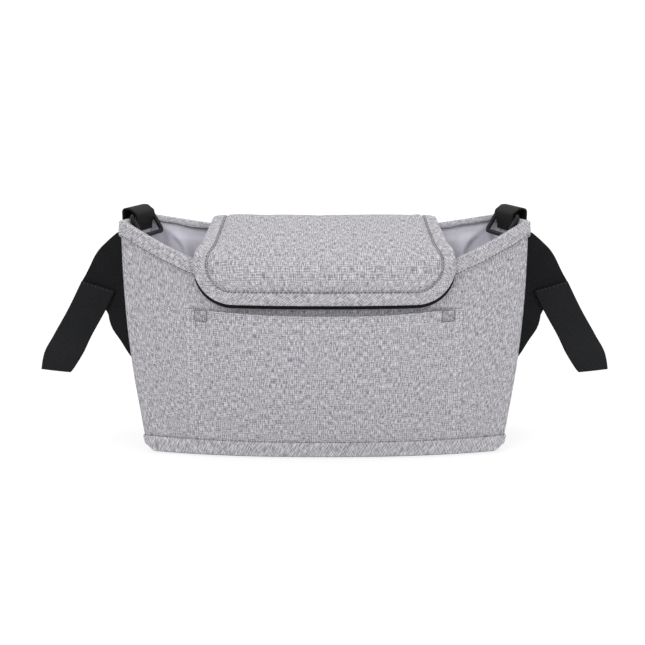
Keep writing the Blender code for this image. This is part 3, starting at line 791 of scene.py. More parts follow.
def build_lining():
    places = round_places(120, 12, 220)
    count = len(places)
    rows = 80

    def place(i, j):
        s = places[i % count]
        z = mix(LINING_FLOOR, rim_at(s), j / rows)
        return wall_point(s, z, -LINING_DEPTH - lining_fold(s, z))

    bm = laid_grid(count, rows, place, (1.0, RIM_CORNER))
    bmesh.ops.remove_doubles(bm, verts=bm.verts, dist=0.00002)
    low = min(vertex.co.z for vertex in bm.verts)
    loop = [edge for edge in bm.edges if edge.is_boundary
            and all(vertex.co.z < low + 1e-6 for vertex in edge.verts)]
    floor = bmesh.ops.edgeloop_fill(bm, edges=loop)["faces"]
    layer = bm.loops.layers.uv["cut"]
    for face in floor:
        for corner in face.loops:
            corner[layer].uv = (corner.vert.co.x, corner.vert.co.y)
    bmesh.ops.recalc_face_normals(bm, faces=bm.faces)
    floor[0].normal_update()
    if floor[0].normal.z > 0.0:
        bmesh.ops.reverse_faces(bm, faces=bm.faces)
    area = sum(face.calc_area() for face in bm.faces)
    piece = finish_piece("lining_cloth", bm, lining_cloth, node="lining")
    thicken(piece, LINING, -1.0, even=False)
    girth = measured([wall_point(s, RIM_CORNER, 0.0) for s in places])[-1]


build_lining()

# %% [markdown]
# Two padded dividers make the drink pockets. Each is a thin closed box, crowned in the
# middle, so a grid with a thickness that grows away from its edge is enough.

# %% Dividers
DIVIDER_X = 0.0780
DIVIDER_THICK = 0.0050
DIVIDER_TOP = 0.1300


def build_divider(name, node, sign):
    columns, rows = 24, 30
    skin = LINING_DEPTH + LINING + GAP
    floor = LINING_FLOOR + LINING + GAP

    def place(i, j):
        z = mix(floor, DIVIDER_TOP, j / rows)
        nearest = front_y(DIVIDER_X / front_half_width(z), z) + 1.25 * skin + 0.004
        y = mix(nearest, BACK_Y - skin - 0.004, i / columns)
        return Vector((sign * DIVIDER_X, y, z))

    bm = laid_grid(columns, rows, place, (0.090, DIVIDER_TOP))
    piece = finish_piece(name, bm, lining_cloth, node=node)
    pad = piece.vertex_groups.new(name="pad")
    for j in range(rows + 1):
        for i in range(columns + 1):
            inner = min(i, columns - i) / columns * 6.0
            upper = min(j, rows - j) / rows * 6.0
            share = 0.45 + 0.55 * ease(min(inner, upper), 0.0, 1.0)
            pad.add([j * (columns + 1) + i], share, "REPLACE")
    thicken(piece, DIVIDER_THICK, 0.0, "pad")


build_divider("left_divider_pad", "left_divider", -1.0)
build_divider("right_divider_pad", "right_divider", 1.0)

# %% [markdown]
# The mouth is bound with tape that folds over the rim. Its section is a U, drawn once and
# carried round the bag on a closed grid. The tape is slack between stitches, so a small
# wave puckers it.

# %% Mouth binding
BACK_INNER_SHARE = 0.24
BACK_INNER_LIFT = 0.0024
FRONT_PUCKER = 0.00045
BACK_PUCKER = 0.0022


def build_mouth_binding():
    loose = 0.0003
    section = [(TAPE_OUT, -MOUTH_BAND), (TAPE_OUT + loose, -0.85 * MOUTH_BAND)]
    section += [(TAPE_OUT + loose, -0.55 * MOUTH_BAND), (TAPE_OUT, -0.25 * MOUTH_BAND)]
    section += [(TAPE_OUT, 0.0), (0.7 * TAPE_OUT, 0.7 * TAPE_OUT), (0.0, TAPE_OUT)]
    section += [(-0.5 * TAPE_IN, 1.2 * TAPE_OUT), (-(TAPE_IN - TAPE_OUT), TAPE_OUT)]
    section += [(-(TAPE_IN - 0.3 * TAPE_OUT), 0.7 * TAPE_OUT), (-TAPE_IN, 0.0)]
    section += [(-TAPE_IN - loose, -0.5 * MOUTH_BAND), (-TAPE_IN, -MOUTH_BAND)]
    places = round_places(120, 14, 110)
    count = len(places)
    rims = [wall_point(s, rim_at(s), 0.0) for s in places]

    def pucker(s, lift):
        """Ripple of the loose cloth between stitches, strongest at the back of the rim."""
        t = s - math.floor(s)
        if side_of(s) not in (0, 2) or min(t, 1.0 - t) < 0.012:
            return 0.0
        size = FRONT_PUCKER if side_of(s) == 0 else BACK_PUCKER
        return size * noise.noise(rims[places.index(s)] * 75.0) * clamp(-3.0 * lift / MOUTH_BAND)

    def place(i, j):
        s = places[i % count]
        out, lift = section[j]
        if j > len(section) - 3:
            loose_at = ease(min(s - 2.0, 3.0 - s), 0.01, 0.04)
            out -= BACK_INNER_LIFT * loose_at * clamp(-lift / MOUTH_BAND)
            lift *= mix(1.0, BACK_INNER_SHARE, ease(min(s - 1.0, 4.0 - s), 0.10, 0.35))
        ripple = pucker(s, lift)
        return wall_point(s, rim_at(s) + lift + ripple, out + math.copysign(abs(ripple), out))

    bm = laid_grid(count, len(section) - 1, place, (1.0, 1.0))
    cut_in_metres(bm, measured(rims + [rims[0]]), measured([(a, b, 0.0) for a, b in section]))
    bmesh.ops.remove_doubles(bm, verts=bm.verts, dist=0.00002)
    piece = finish_piece("mouth_tape", bm, rim_tape, node="mouth_binding")
    thicken(piece, TAPE, 0.0, even=False)
    round_edges(piece, 0.0003)


build_mouth_binding()

# %% [markdown]
# A second tape covers the seam between wall and base. In front it lies over the pocket
# cloth, so its distance from the wall is larger there.

# %% Bottom binding
BOTTOM_BAND_TOP = 0.0156
BOTTOM_BAND_LOW = 0.0020


def build_bottom_binding():
    rows = 8
    places = corner_places(96, 12, 56)
    count = len(places)
    front = GAP + POCKET + 2.0 * GAP

    def place(i, j):
        s = places[i % count]
        rise = foot_rise(side_of(s), s - math.floor(s))
        z = mix(BOTTOM_BAND_LOW + rise, BOTTOM_BAND_TOP, j / rows)
        wall_z = max(z, WALL_FLOOR)
        if side_of(s) == 0:
            point = wall_point(s, wall_z, front, GAP)
        elif side_of(s) == 1:
            point = wall_point(s, wall_z, GAP, front)
        else:
            point = wall_point(s, wall_z, GAP)
        point.z = z
        return point

    bm = laid_grid(count, rows, place, (1.0, 1.0))
    foot = [place(i, 0) for i in range(count + 1)]
    cut_in_metres(bm, measured(foot), measured([place(0, j) for j in range(rows + 1)]))
    bmesh.ops.remove_doubles(bm, verts=bm.verts, dist=0.00002)
    piece = finish_piece("bottom_tape", bm, flat_tape, node="bottom_binding")
    thicken(piece, TAPE, 1.0)
    round_edges(piece, 0.0004)


build_bottom_binding()

# %% [markdown]
# The front pocket is a patch of the same cloth, turned in at its edges and sewn flat down
# both ends. Between its two bar-tacks the mouth gapes and sags a little.

# %% Front pocket
BARTACK_WIDTH = 0.0112
BARTACK_HEIGHT = 0.0095


def pocket_out(x, z):
    across = 1.0 - clamp(abs(x) / POCKET_MOUTH_HALF) ** 3
    up = clamp((z - BOTTOM_BAND_TOP) / (POCKET_TOP - BOTTOM_BAND_TOP)) ** 1.6
    return PATCH_RISE + POCKET_GAPE * across * up + foot_swell(z)


def on_pocket(x, z, lift=0.0):
    t = 0.5 * (x / front_half_width(z) + 1.0)
    return panel_point(0, t, z, pocket_out(x, z) + lift)


def build_pocket():
    columns, rows = 96, 44

    def place(i, j):
        x = mix(-PATCH_HALF, PATCH_HALF, i / columns)
        return on_pocket(x, mix(WALL_FLOOR, pocket_mouth(x), j / rows))
    size = (2.0 * PATCH_HALF, POCKET_TOP - WALL_FLOOR)
    bm = laid_grid(columns, rows, place, size)
    piece = finish_piece("pocket_cloth", bm, outer_cloth, node="pocket_panel")
    thicken(piece, 0.0010, -1.0)
    round_edges(piece, 0.0003)


build_pocket()


tack_cloth = melange_material("melange polyester under dense stitches",
                              "#615F66", "#949297", "#C0BEC3")


def build_bartack(name, node, sign):
    def place(i, j):
        x = sign * POCKET_MOUTH_HALF + (i / 6.0 - 0.5) * BARTACK_WIDTH
        z = POCKET_TOP - GAP - BARTACK_HEIGHT * (1.0 - j / 5.0)
        return on_pocket(x, z, 0.0002)
    bm = laid_grid(6, 5, place, (BARTACK_WIDTH, BARTACK_HEIGHT))
    piece = finish_piece(name, bm, tack_cloth, node=node)
    thicken(piece, 0.0004, 1.0)
    round_edges(piece, 0.00012)


build_bartack("left_tack", "left_bartack", -1.0)
build_bartack("right_tack", "right_bartack", 1.0)

# %% [markdown]
# The flap grows from the back, stands up in a soft crest, slopes to the front rim and hangs
# over it. Its profile is a smooth curve through a few named places, and it changes across
# the bag because the rim below it does.

# %% Flap shape
FLAP_ROOT_Z = 0.1560
FLAP_ROOT_CLEAR = 0.0036
FLAP_CREST_Z = 0.2030
FLAP_CREST_BACK = 0.0060
FLAP_CREST_FALL = 0.0020
FLAP_RIM_CLEAR = 0.0056
FLAP_RIM_LEAD = 0.0060
FLAP_FRONT_CLEAR = 0.0048
FLAP_HEM_Z = 0.1422
FLAP_ROOT_HALF = 0.1000
FLAP_CREST_HALF = 0.1025
FLAP_FRONT_HALF = 0.1120
FLAP_SPREAD_START = 0.64
FLAP_SPREAD_SHARE = 0.4
FLAP_CREST_SHARE = 0.27
FLAP_CORNER = 0.0330
FLAP_EDGE = 0.0024
FLAP_PAD = 0.0068
FLAP_BAND = 0.0105


def flap_controls(x):
    """Inner face of the flap at one distance from the centre line, as (y, z) points."""
    u = (abs(x) + FLAP_RIM_LEAD) / TOP_HALF_WIDTH
    rim_z = front_rim(u)
    rim_y = front_y(u, rim_z)
    fall = FLAP_CREST_FALL * ease(abs(x), 0.80 * FLAP_CREST_HALF, FLAP_CREST_HALF)
    crest = Vector((BACK_Y - FLAP_CREST_BACK, FLAP_CREST_Z - fall))
    bend = Vector((rim_y - 0.3 * FLAP_RIM_CLEAR, rim_z + FLAP_RIM_CLEAR))
    below = rim_z - 0.012
    half = front_half_width(FLAP_HEM_Z)
    return (
        Vector((BACK_Y + FLAP_ROOT_CLEAR, FLAP_ROOT_Z)),
        Vector((BACK_Y + FLAP_ROOT_CLEAR, 0.5 * (FLAP_ROOT_Z + FLAP_CREST_Z))),
        Vector((BACK_Y + 0.8 * FLAP_ROOT_CLEAR, FLAP_CREST_Z - 0.0045)),
        crest,
        crest.lerp(bend, 0.33) + Vector((0.0, 0.0010)),
        crest.lerp(bend, 0.66) + Vector((0.0, 0.0016)),
        bend,
        Vector((front_y(abs(x) / half, below) - FLAP_FRONT_CLEAR, below)),
        Vector((front_y(abs(x) / half, FLAP_HEM_Z) - FLAP_FRONT_CLEAR, FLAP_HEM_Z)),
    )


def spline(points, share):
    """Smooth point and direction at a share of the chord length."""
    chords = [(b - a).length for a, b in zip(points, points[1:])]
    target = clamp(share) * sum(chords)
    index = 0
    while index < len(chords) - 1 and target > chords[index]:
        target -= chords[index]
        index += 1
    t = clamp(target / chords[index])
    p1, p2 = points[index], points[index + 1]
    p0 = points[index - 1] if index > 0 else p1 + (p1 - p2)
    p3 = points[index + 2] if index + 2 < len(points) else p2 + (p2 - p1)
    m1 = 0.5 * (p2 - p0)
    m2 = 0.5 * (p3 - p1)
    t2, t3 = t * t, t * t * t
    point = (p1 * (2.0 * t3 - 3.0 * t2 + 1.0) + m1 * (t3 - 2.0 * t2 + t)
             + p2 * (3.0 * t2 - 2.0 * t3) + m2 * (t3 - t2))
    slope = (p1 * (6.0 * t2 - 6.0 * t) + m1 * (3.0 * t2 - 4.0 * t + 1.0)
             + p2 * (6.0 * t - 6.0 * t2) + m2 * (3.0 * t2 - 2.0 * t))
    return point, slope.normalized()


def chord_sum(points):
    return sum((b - a).length for a, b in zip(points, points[1:]))


FLAP_RUN = chord_sum(flap_controls(0.0))
print("flap runs", round(FLAP_RUN * 1000), "mm from root to hem")


def flap_point(x, run, height):
    """Point on the flap: x across, run along it from the root, height off its inner face."""
    point, slope = spline(flap_controls(x), run / FLAP_RUN)
    outward = Vector((slope.y, -slope.x))
    beyond = max(0.0, run - FLAP_RUN) + min(0.0, run)
    place = point + outward * height + slope * beyond
    return Vector((x, place.x, place.y))


def flap_half(run):
    crest_run = FLAP_CREST_SHARE * FLAP_RUN
    front_run = FLAP_RUN - FLAP_CORNER
    if run < crest_run:
        half = mix(FLAP_ROOT_HALF, FLAP_CREST_HALF, run / crest_run)
    else:
        steady = clamp((run - crest_run) / (front_run - crest_run))
        late = ease(run, FLAP_SPREAD_START * FLAP_RUN, front_run)
        half = mix(FLAP_CREST_HALF, FLAP_FRONT_HALF, mix(steady, late, FLAP_SPREAD_SHARE))
    left = FLAP_RUN - run
    if left < FLAP_CORNER:
        rise = FLAP_CORNER - left
        half -= FLAP_CORNER - math.sqrt(max(0.0, FLAP_CORNER ** 2 - rise ** 2))
    return half


# %% [markdown]
# The flap is padded with loose wadding. A closed form is laid first, slightly too thin, with
# its edge and its underside sewn down. Cloth simulation then lets air swell it, which gives
# the taut crown and the small pulls beside the tape that a formula does not.

# %% Flap pad
PAD_START = 0.72
PAD_CAP = 0.0060
PAD_PRESSURE = 4.0
SWELL_FRAMES = 20


def flap_rows(count, corner_count):
    straight = FLAP_RUN - FLAP_CORNER
    runs = [straight * step / count for step in range(count)]
    runs += [straight + FLAP_CORNER * math.sin(0.5 * math.pi * step / corner_count)
             for step in range(corner_count + 1)]
    return runs


def edge_depth(x, run):
    """Distance of a place on the flap from its free edge."""
    full = flap_half(min(run, FLAP_RUN - FLAP_CORNER))
    edge = full - abs(x)
    hem = FLAP_RUN - run
    if edge < FLAP_CORNER and hem < FLAP_CORNER:
        return FLAP_CORNER - math.hypot(FLAP_CORNER - edge, FLAP_CORNER - hem)
    return min(edge, hem)


def pad_height(x, run):
    """Thickness of the pad: thin under the tape, as high as the tape beside it, full inside."""
    depth = edge_depth(x, run)
    root = ease(run, 0.10 * FLAP_RUN, 0.34 * FLAP_RUN)
    beside = ease(depth, FLAP_BAND - 0.0004, FLAP_BAND + 0.0024)
    inside = ease(depth, FLAP_BAND, 2.0 * FLAP_BAND)
    dimple = noise.noise(Vector((x * 38.0, run * 38.0, 0.7)))
    near = 1.0 - ease(depth, FLAP_BAND, 4.0 * FLAP_BAND)
    pull = noise.noise(Vector((x * 120.0, run * 120.0, 4.2)))
    full = PAD_START * FLAP_PAD * (1.0 + 0.10 * dimple)
    height = mix(FLAP_EDGE, FLAP_EDGE + 0.0027, beside)
    return mix(height, full, inside * root) + 0.0004 * near * pull * beside * root


def closed_pad(columns, rows):
    """Upper and lower layer of the flap, joined along the edge."""
    def place_at(height):
        def place(i, j):
            across = 1.0 - 2.0 * i / columns
            spread = mix(across, math.sin(0.5 * math.pi * across), 0.35)
            x = spread * flap_half(rows[j])
            return flap_point(x, rows[j], height(x, rows[j]))
        return place

    def cut(i, j):
        across = 1.0 - 2.0 * i / columns
        return mix(across, math.sin(0.5 * math.pi * across), 0.35) * FLAP_FRONT_HALF, rows[j]

    bm = laid_grid(columns, len(rows) - 1, place_at(pad_height), cut)
    under = laid_grid(columns, len(rows) - 1, place_at(lambda x, run: 0.0), cut)
    bmesh.ops.reverse_faces(under, faces=under.faces)
    spare = bpy.data.meshes.new("under")
    under.to_mesh(spare)
    under.free()
    bm.from_mesh(spare)
    bpy.data.meshes.remove(spare)
    bmesh.ops.bridge_loops(bm, edges=[edge for edge in bm.edges if edge.is_boundary])
    for face in bm.faces:
        face.smooth = True
    return bm


def swell(piece, sewn, pressure, cap):
    """Blows a closed piece up as cloth. Sewn points stay, and no point moves further than cap."""
    before = [vertex.co.copy() for vertex in piece.data.vertices]
    group = piece.vertex_groups.new(name="sewn")
    group.add(sewn, 1.0, "REPLACE")
    cloth = piece.modifiers.new("swell", "CLOTH")
    cloth.settings.quality = 6
    cloth.settings.mass = 0.25
    cloth.settings.tension_stiffness = 10.0
    cloth.settings.compression_stiffness = 10.0
    cloth.settings.shear_stiffness = 4.0
    cloth.settings.bending_stiffness = 0.3
    cloth.settings.vertex_group_mass = "sewn"
    cloth.settings.use_pressure = True
    cloth.settings.uniform_pressure_force = pressure
    cloth.settings.effector_weights.gravity = 0.0
    cloth.point_cache.frame_start = 1
    cloth.point_cache.frame_end = SWELL_FRAMES
    scene = bpy.context.scene
    for step in range(1, SWELL_FRAMES + 1):
        scene.frame_set(step)
    swollen = piece.evaluated_get(bpy.context.evaluated_depsgraph_get())
    after = [vertex.co.copy() for vertex in swollen.data.vertices]
    piece.modifiers.remove(cloth)
    scene.frame_set(1)
    furthest = 0.0
    for vertex, old, new in zip(piece.data.vertices, before, after):
        move = new - old
        furthest = max(furthest, move.length)
        if move.length > 0.0:
            vertex.co = old + move.normalized() * cap * math.tanh(move.length / cap)
    print(piece.name, "swells", round(furthest * 1000, 2), "mm before the cap")


def build_flap():
    columns = 72
    rows = flap_rows(56, 14)
    bm = closed_pad(columns, rows)
    piece = finish_piece("flap_pad", bm, outer_cloth, node="flap_panel")
    layer = (columns + 1) * len(rows)
    sewn = list(range(layer, 2 * layer))
    for j, run in enumerate(rows):
        for i in range(columns + 1):
            across = 1.0 - 2.0 * i / columns
            x = mix(across, math.sin(0.5 * math.pi * across), 0.35) * flap_half(run)
            if edge_depth(x, run) < FLAP_BAND + 0.001 or run < 0.12 * FLAP_RUN:
                sewn.append(j * (columns + 1) + i)
    swell(piece, sewn, PAD_PRESSURE, PAD_CAP)
    smooth = piece.modifiers.new("smooth", "SUBSURF")
    smooth.levels = 1
    smooth.render_levels = 1


build_flap()

# %% [markdown]
# The flap's tape is the same U as the mouth's, carried along the free edge from one side of
# the root, round both corners, to the other.

# %% Flap binding
def flap_outline(side_count, corner_count, hem_count):
    """Places round the free edge, as (x, run, inward direction)."""
    places = []
    straight = FLAP_RUN - FLAP_CORNER
    for step in range(side_count):
        run = straight * step / side_count
        slope = (flap_half(run + 0.001) - flap_half(max(0.0, run - 0.001))) / 0.002
        places.append((-flap_half(run), run, Vector((1.0, slope)).normalized()))
    for step in range(corner_count):
        angle = 0.5 * math.pi * step / corner_count
        run = straight + FLAP_CORNER * math.sin(angle)
        places.append((-flap_half(run), run, Vector((math.cos(angle), -math.sin(angle)))))
    for step in range(hem_count + 1):
        places.append((mix(-flap_half(FLAP_RUN), 0.0, step / hem_count), FLAP_RUN,
                       Vector((0.0, -1.0))))
    mirrored = [(-x, run, Vector((-inward.x, inward.y))) for x, run, inward in places[-2::-1]]
    return places + mirrored


def build_flap_binding():
    outline = flap_outline(96, 20, 30)
    high = FLAP_EDGE + TAPE_OUT + 0.4 * GAP
    section = ((FLAP_BAND, -TAPE_OUT), (0.5 * FLAP_BAND, -TAPE_OUT), (0.0, -TAPE_OUT),
               (-0.7 * TAPE_OUT, -0.7 * TAPE_OUT), (-TAPE_OUT, 0.0), (-TAPE_OUT, FLAP_EDGE),
               (-0.7 * TAPE_OUT, high - 0.3 * TAPE_OUT), (0.0, high),
               (0.25 * FLAP_BAND, high + 0.0004), (0.5 * FLAP_BAND, high + 0.0006),
               (0.8 * FLAP_BAND, high + 0.0003), (FLAP_BAND, high))
    reach = measured([(a, b, 0.0) for a, b in section])
    travel = measured([(x, run, 0.0) for x, run, inward in outline])

    def wrap(i, j):
        x, run, inward = outline[i]
        depth, height = section[j]
        return flap_point(x + inward.x * depth, run + inward.y * depth, height)

    bm = laid_grid(len(outline) - 1, len(section) - 1, wrap, (1.0, 1.0))
    cut_in_metres(bm, travel, reach)
    bmesh.ops.reverse_faces(bm, faces=bm.faces)
    # The stitch row of this tape carries a painted groove shade.
    material = tape_material("melange polyester, flap tape", (reach[-1] - 0.0010,))
    piece = finish_piece("flap_tape", bm, material, node="flap_binding")
    thicken(piece, TAPE, 0.0, even=False)
    round_edges(piece, 0.0004)
    print("flap tape", round(travel[-1] * 1000), "mm long")


build_flap_binding()

# %% [markdown]
# Under the front part of the tape lies a narrow black strip, a painted shadow. Its edge stands
# a little proud of the hem, and reads as the dark shadow line below the flap.

# %% Painted shadow strip under the flap
SHADOW_STRIP_THICK = 0.0005
SHADOW_STRIP_PROUD = 0.0046
SHADOW_STRIP_WIDTH = 0.0130


def build_flap_shadow_strip():
    outline = flap_outline(96, 20, 30)
    start = FLAP_RUN - 1.5 * FLAP_CORNER
    outline = [spot for spot in outline if spot[1] > start]
    height = -TAPE_OUT - 0.5 * TAPE - 0.6 * GAP
    columns = 8

    def place(i, j):
        x, run, inward = outline[i]
        proud = SHADOW_STRIP_PROUD * ease(run, FLAP_RUN - 1.3 * FLAP_CORNER,
                                    FLAP_RUN - 0.2 * FLAP_CORNER)
        depth = mix(-proud, SHADOW_STRIP_WIDTH, j / columns)
        return flap_point(x + inward.x * depth, run + inward.y * depth, height)

    bm = laid_grid(len(outline) - 1, columns, place, (1.0, 1.0))
    cut_in_metres(bm, measured([(x, run, 0.0) for x, run, inward in outline]),
                  [SHADOW_STRIP_WIDTH * j / columns for j in range(columns + 1)])
    area = sum(face.calc_area() for face in bm.faces)
    # A black strip that paints the shadow under the flap's hem.
    piece = finish_piece("flap_shadow_strip", bm, wing_cloth)
    thicken(piece, SHADOW_STRIP_THICK, 0.0, even=False)


build_flap_shadow_strip()

# %% [markdown]
# The wings are flat black cloth sewn into the back seams. A filled outline with a small
# thickness makes the cut shape; its points are a few places read off the real outline. The
# inner top is cut on a slant, so that it stays just under the mouth tape.

# %% Wings
WING_THICK = 0.0018
WING_OVERLAP = 0.0120
WING_TOP_DROP = 0.0055
WING_BELOW_BANDS = 1.34
WING_BESIDE_BANDS = 1.08
WING_REACH = 0.0508
WING_DROP = 0.1540
WING_EDGE = (
    (0.04, 0.065), (0.27, 0.103), (0.39, 0.132), (0.53, 0.173), (0.65, 0.212), (0.75, 0.259),
    (0.84, 0.316), (0.925, 0.368), (1.0, 0.408), (0.87, 0.470), (0.71, 0.560), (0.56, 0.607),
    (0.52, 0.673), (0.46, 0.726), (0.33, 0.792), (0.14, 0.898), (-0.17, 1.0),
)


def from_mouth_corner(shares, reach, drop):
    return [Vector((TOP_HALF_WIDTH + a * reach, RIM_CORNER - b * drop)) for a, b in shares]


def smooth_edge(points, steps):
    """More points along a row, on the smooth curve through them."""
    shares = [step / steps for step in range(steps + 1)]
    return [spline(points, share)[0] for share in shares]


def build_wing(name, node, sign):
    inner = BACK_TOP_HALF_WIDTH - WING_OVERLAP
    clear = BACK_TOP_HALF_WIDTH + 0.5 * TAPE + TAPE_OUT + GAP
    below = RIM_CORNER - WING_BELOW_BANDS * MOUTH_BAND
    beside = RIM_CORNER - WING_BESIDE_BANDS * MOUTH_BAND
    foot = RIM_CORNER - WING_DROP
    edge = from_mouth_corner(WING_EDGE, WING_REACH, WING_DROP)
    outline = smooth_edge(edge[:9], 24) + smooth_edge(edge[9:], 20)
    outline += [Vector(spot) for spot in (
        (inner, foot), (inner, 0.5 * (foot + below)), (inner, below), (clear, beside),
        (clear, RIM_CORNER - WING_TOP_DROP))]
    bm = bmesh.new()
    bmesh.ops.create_circle(bm, cap_ends=True, segments=len(outline), radius=1.0)
    bm.verts.ensure_lookup_table()
    for vertex, spot in zip(bm.verts, outline):
        vertex.co = (sign * spot.x, BACK_Y + GAP, spot.y)
    bm.normal_update()
    bmesh.ops.triangulate(bm, faces=bm.faces)
    bmesh.ops.subdivide_edges(bm, edges=bm.edges, cuts=3, use_grid_fill=True)
    bmesh.ops.recalc_face_normals(bm, faces=bm.faces)
    if sum(face.normal.y for face in bm.faces) < 0.0:
        bmesh.ops.reverse_faces(bm, faces=bm.faces)
    for face in bm.faces:
        face.smooth = True
    layer = bm.loops.layers.uv.new("cut")
    for vertex in bm.verts:
        x, z = abs(vertex.co.x), vertex.co.z
        free = ease(x, TOP_HALF_WIDTH + 0.004, TOP_HALF_WIDTH + WING_REACH)
        wave = math.sin(70.0 * x + 45.0 * z) + 0.6 * noise.noise(Vector((x * 40.0, z * 30.0, 1.5)))
        for loop in vertex.link_loops:
            loop[layer].uv = (x, z)
        vertex.co.y += free * 0.0006 * (wave + 1.2)
    area = sum(face.calc_area() for face in bm.faces)
    piece = finish_piece(name, bm, wing_cloth, node=node)
    thicken(piece, WING_THICK, 1.0, even=False)
    round_edges(piece, 0.0005)


build_wing("left_wing_cloth", "left_wing", -1.0)
build_wing("right_wing_cloth", "right_wing", 1.0)

# %% [markdown]
# A strap tail is sewn on the front of each wing. It is stiff fastening tape. It narrows a
# little, turns down at its end and swings forwards, so it is laid between two edge curves.

# %% Strap tails
STRAP_THICK = 0.0016
STRAP_REACH = 0.0951
STRAP_DROP = 0.1514
STRAP_OUTER = (
    (0.535, 0.415), (0.690, 0.599), (0.852, 0.766), (0.943, 0.853), (0.980, 0.915), (1.0, 0.979),
)
STRAP_INNER = (
    (0.206, 0.480), (0.320, 0.616), (0.468, 0.773), (0.558, 0.874), (0.667, 0.972), (0.707, 1.0),
)
STRAP_STILL_SHARE = 0.45
STRAP_LIFT = 0.0070


def build_strap(name, node, sign):
    outer = from_mouth_corner(STRAP_OUTER, STRAP_REACH, STRAP_DROP)
    inner = from_mouth_corner(STRAP_INNER, STRAP_REACH, STRAP_DROP)
    rows, columns = 60, 12

    def place(i, j):
        share = j / rows
        spot = spline(outer, share)[0].lerp(spline(inner, share)[0], i / columns)
        swing = STRAP_LIFT * ease(share, STRAP_STILL_SHARE, 1.0)
        spot.x -= 0.34 * swing
        cup = 0.0007 * math.sin(math.pi * i / columns) * ease(share, 0.2, 1.0)
        return Vector((sign * spot.x, BACK_Y - swing - cup, spot.y))

    bm = laid_grid(columns, rows, place, (1.0, 1.0))
    cut_in_metres(bm, measured([place(i, 0) for i in range(columns + 1)]),
                  measured([place(6, j) for j in range(rows + 1)]))
    bm.normal_update()
    if sum(face.normal.y for face in bm.faces) > 0.0:
        bmesh.ops.reverse_faces(bm, faces=bm.faces)
    piece = finish_piece(name, bm, hook_tape, node=node)
    thicken(piece, STRAP_THICK, 1.0)
    round_edges(piece, 0.0004)


build_strap("left_strap_tape", "left_strap", -1.0)
build_strap("right_strap_tape", "right_strap", 1.0)

# %% [markdown]
# At each end a short length of webbing folds over the gusset rim and holds the ring's bar
# in its fold. The fold is one line of places in the section, carried along the rim.

# %% Ring tabs
TAB_SIDE_CLEAR = 0.0007
TAB_THICK = 0.0016
TAB_FOLD_ROUND = 0.0030
TAB_OUTER_DROP = 0.0300
TAB_INNER_DROP = 0.0104
TAB_LIFT = 0.0026
RING_END_CLEAR = 0.0006
RING_DROP = 0.0240
RING_LEAN = 30.0
RING_BAR = 0.0040
RING_PLAY = 0.0009
RING_PIVOT_IN = 0.0065
RING_PIVOT_UP = 0.0045


def tab_frame(side):
    centre = wall_xy(side, 0.5, RIM_CORNER)
    centre.z = RIM_CORNER
    inward = -side_normal(side, 0.5, RIM_CORNER)
    up = Vector((0.0, 0.0, 1.0))
    return centre, up.cross(inward), inward, up


def tab_section():
    reach = 0.5 * RING_BAR + RING_PLAY + 0.5 * TAB_THICK
    outer = TAPE_OUT + 0.5 * TAPE + GAP + 0.5 * TAB_THICK
    inner = TAPE_IN + 0.5 * TAPE + GAP + 0.5 * TAB_THICK
    top = RING_PIVOT_UP + reach + TAB_LIFT
    points = [(-outer, -TAB_OUTER_DROP + 0.006 * step) for step in range(5)]
    points += [(-outer, 0.0), (-outer, top - TAB_FOLD_ROUND)]
    for step in range(1, 5):
        turn = 0.5 * math.pi * step / 4.0
        points.append((-outer + TAB_FOLD_ROUND * (1.0 - math.cos(turn)),
                       top - TAB_FOLD_ROUND * (1.0 - math.sin(turn))))
    points += [(RING_PIVOT_IN - 0.0036, top), (RING_PIVOT_IN - 0.0020, top - 0.0003)]
    for angle in range(40, -1, -10):
        turn = math.radians(angle)
        points.append((RING_PIVOT_IN + reach * math.cos(turn),
                       RING_PIVOT_UP + reach * math.sin(turn)))
    points += [(RING_PIVOT_IN + 0.85 * reach, 0.0012), (inner + 0.0012, -0.0030),
               (inner + 0.0003, -0.0070), (inner + 0.0002, -TAB_INNER_DROP)]
    return points


def ring_half(side):
    """Half distance between the ring's end bars, clear of the bindings at both corners."""
    centre, along, inward, up = tab_frame(side)
    corner_sides = ((0, 0.0), (2, 1.0)) if side == 3 else ((0, 1.0), (2, 0.0))
    far_bar = (RING_DROP - RING_BAR) * math.sin(math.radians(RING_LEAN))
    halves = []
    for wall, t in corner_sides:
        corner = wall_xy(wall, t, RIM_CORNER)
        corner.z = RIM_CORNER
        inner = -side_normal(wall, t, RIM_CORNER)
        taken = TAPE_IN + 0.5 * TAPE + 0.5 * RING_BAR + RING_END_CLEAR
        for depth in (RING_PIVOT_IN, RING_PIVOT_IN + far_bar):
            room = (centre + inward * depth - corner).dot(inner) - taken
            halves.append(room / abs(along.dot(inner)))
    return min(halves)


def build_tab(name, node, side):
    section = tab_section()
    centre, along, inward, up = tab_frame(side)
    width = 2.0 * (ring_half(side) - 0.5 * RING_BAR - TAB_SIDE_CLEAR)
    columns = 16

    def place(i, j):
        reach, lift = section[j]
        shift = (i / columns - 0.5) * width
        return centre + along * shift + inward * reach + up * lift

    bm = laid_grid(columns, len(section) - 1, place, (1.0, 1.0))
    cut_in_metres(bm, [width * i / columns for i in range(columns + 1)],
                  measured([(a, b, 0.0) for a, b in section]))
    piece = finish_piece(name, bm, webbing, node=node)
    thicken(piece, TAB_THICK, 0.0)
    round_edges(piece, 0.0004)


build_tab("left_tab_webbing", "left_ring_tab", 3)
build_tab("right_tab_webbing", "right_ring_tab", 1)

# %% [markdown]
# Seams are sewn with 0.4 mm polyester thread at about seven stitches to the inch. Each
# stitch is a small stretched ball, half sunk in the cloth. Rows follow the pieces they sew:
# two lines down each end of the pocket, a hem under its mouth, and the edges of the
# bar-tacks, straps and tabs.

# %% Stitches
THREAD = 0.0007
STITCH_STEP = 0.0036
STITCH_LENGTH = 0.0026


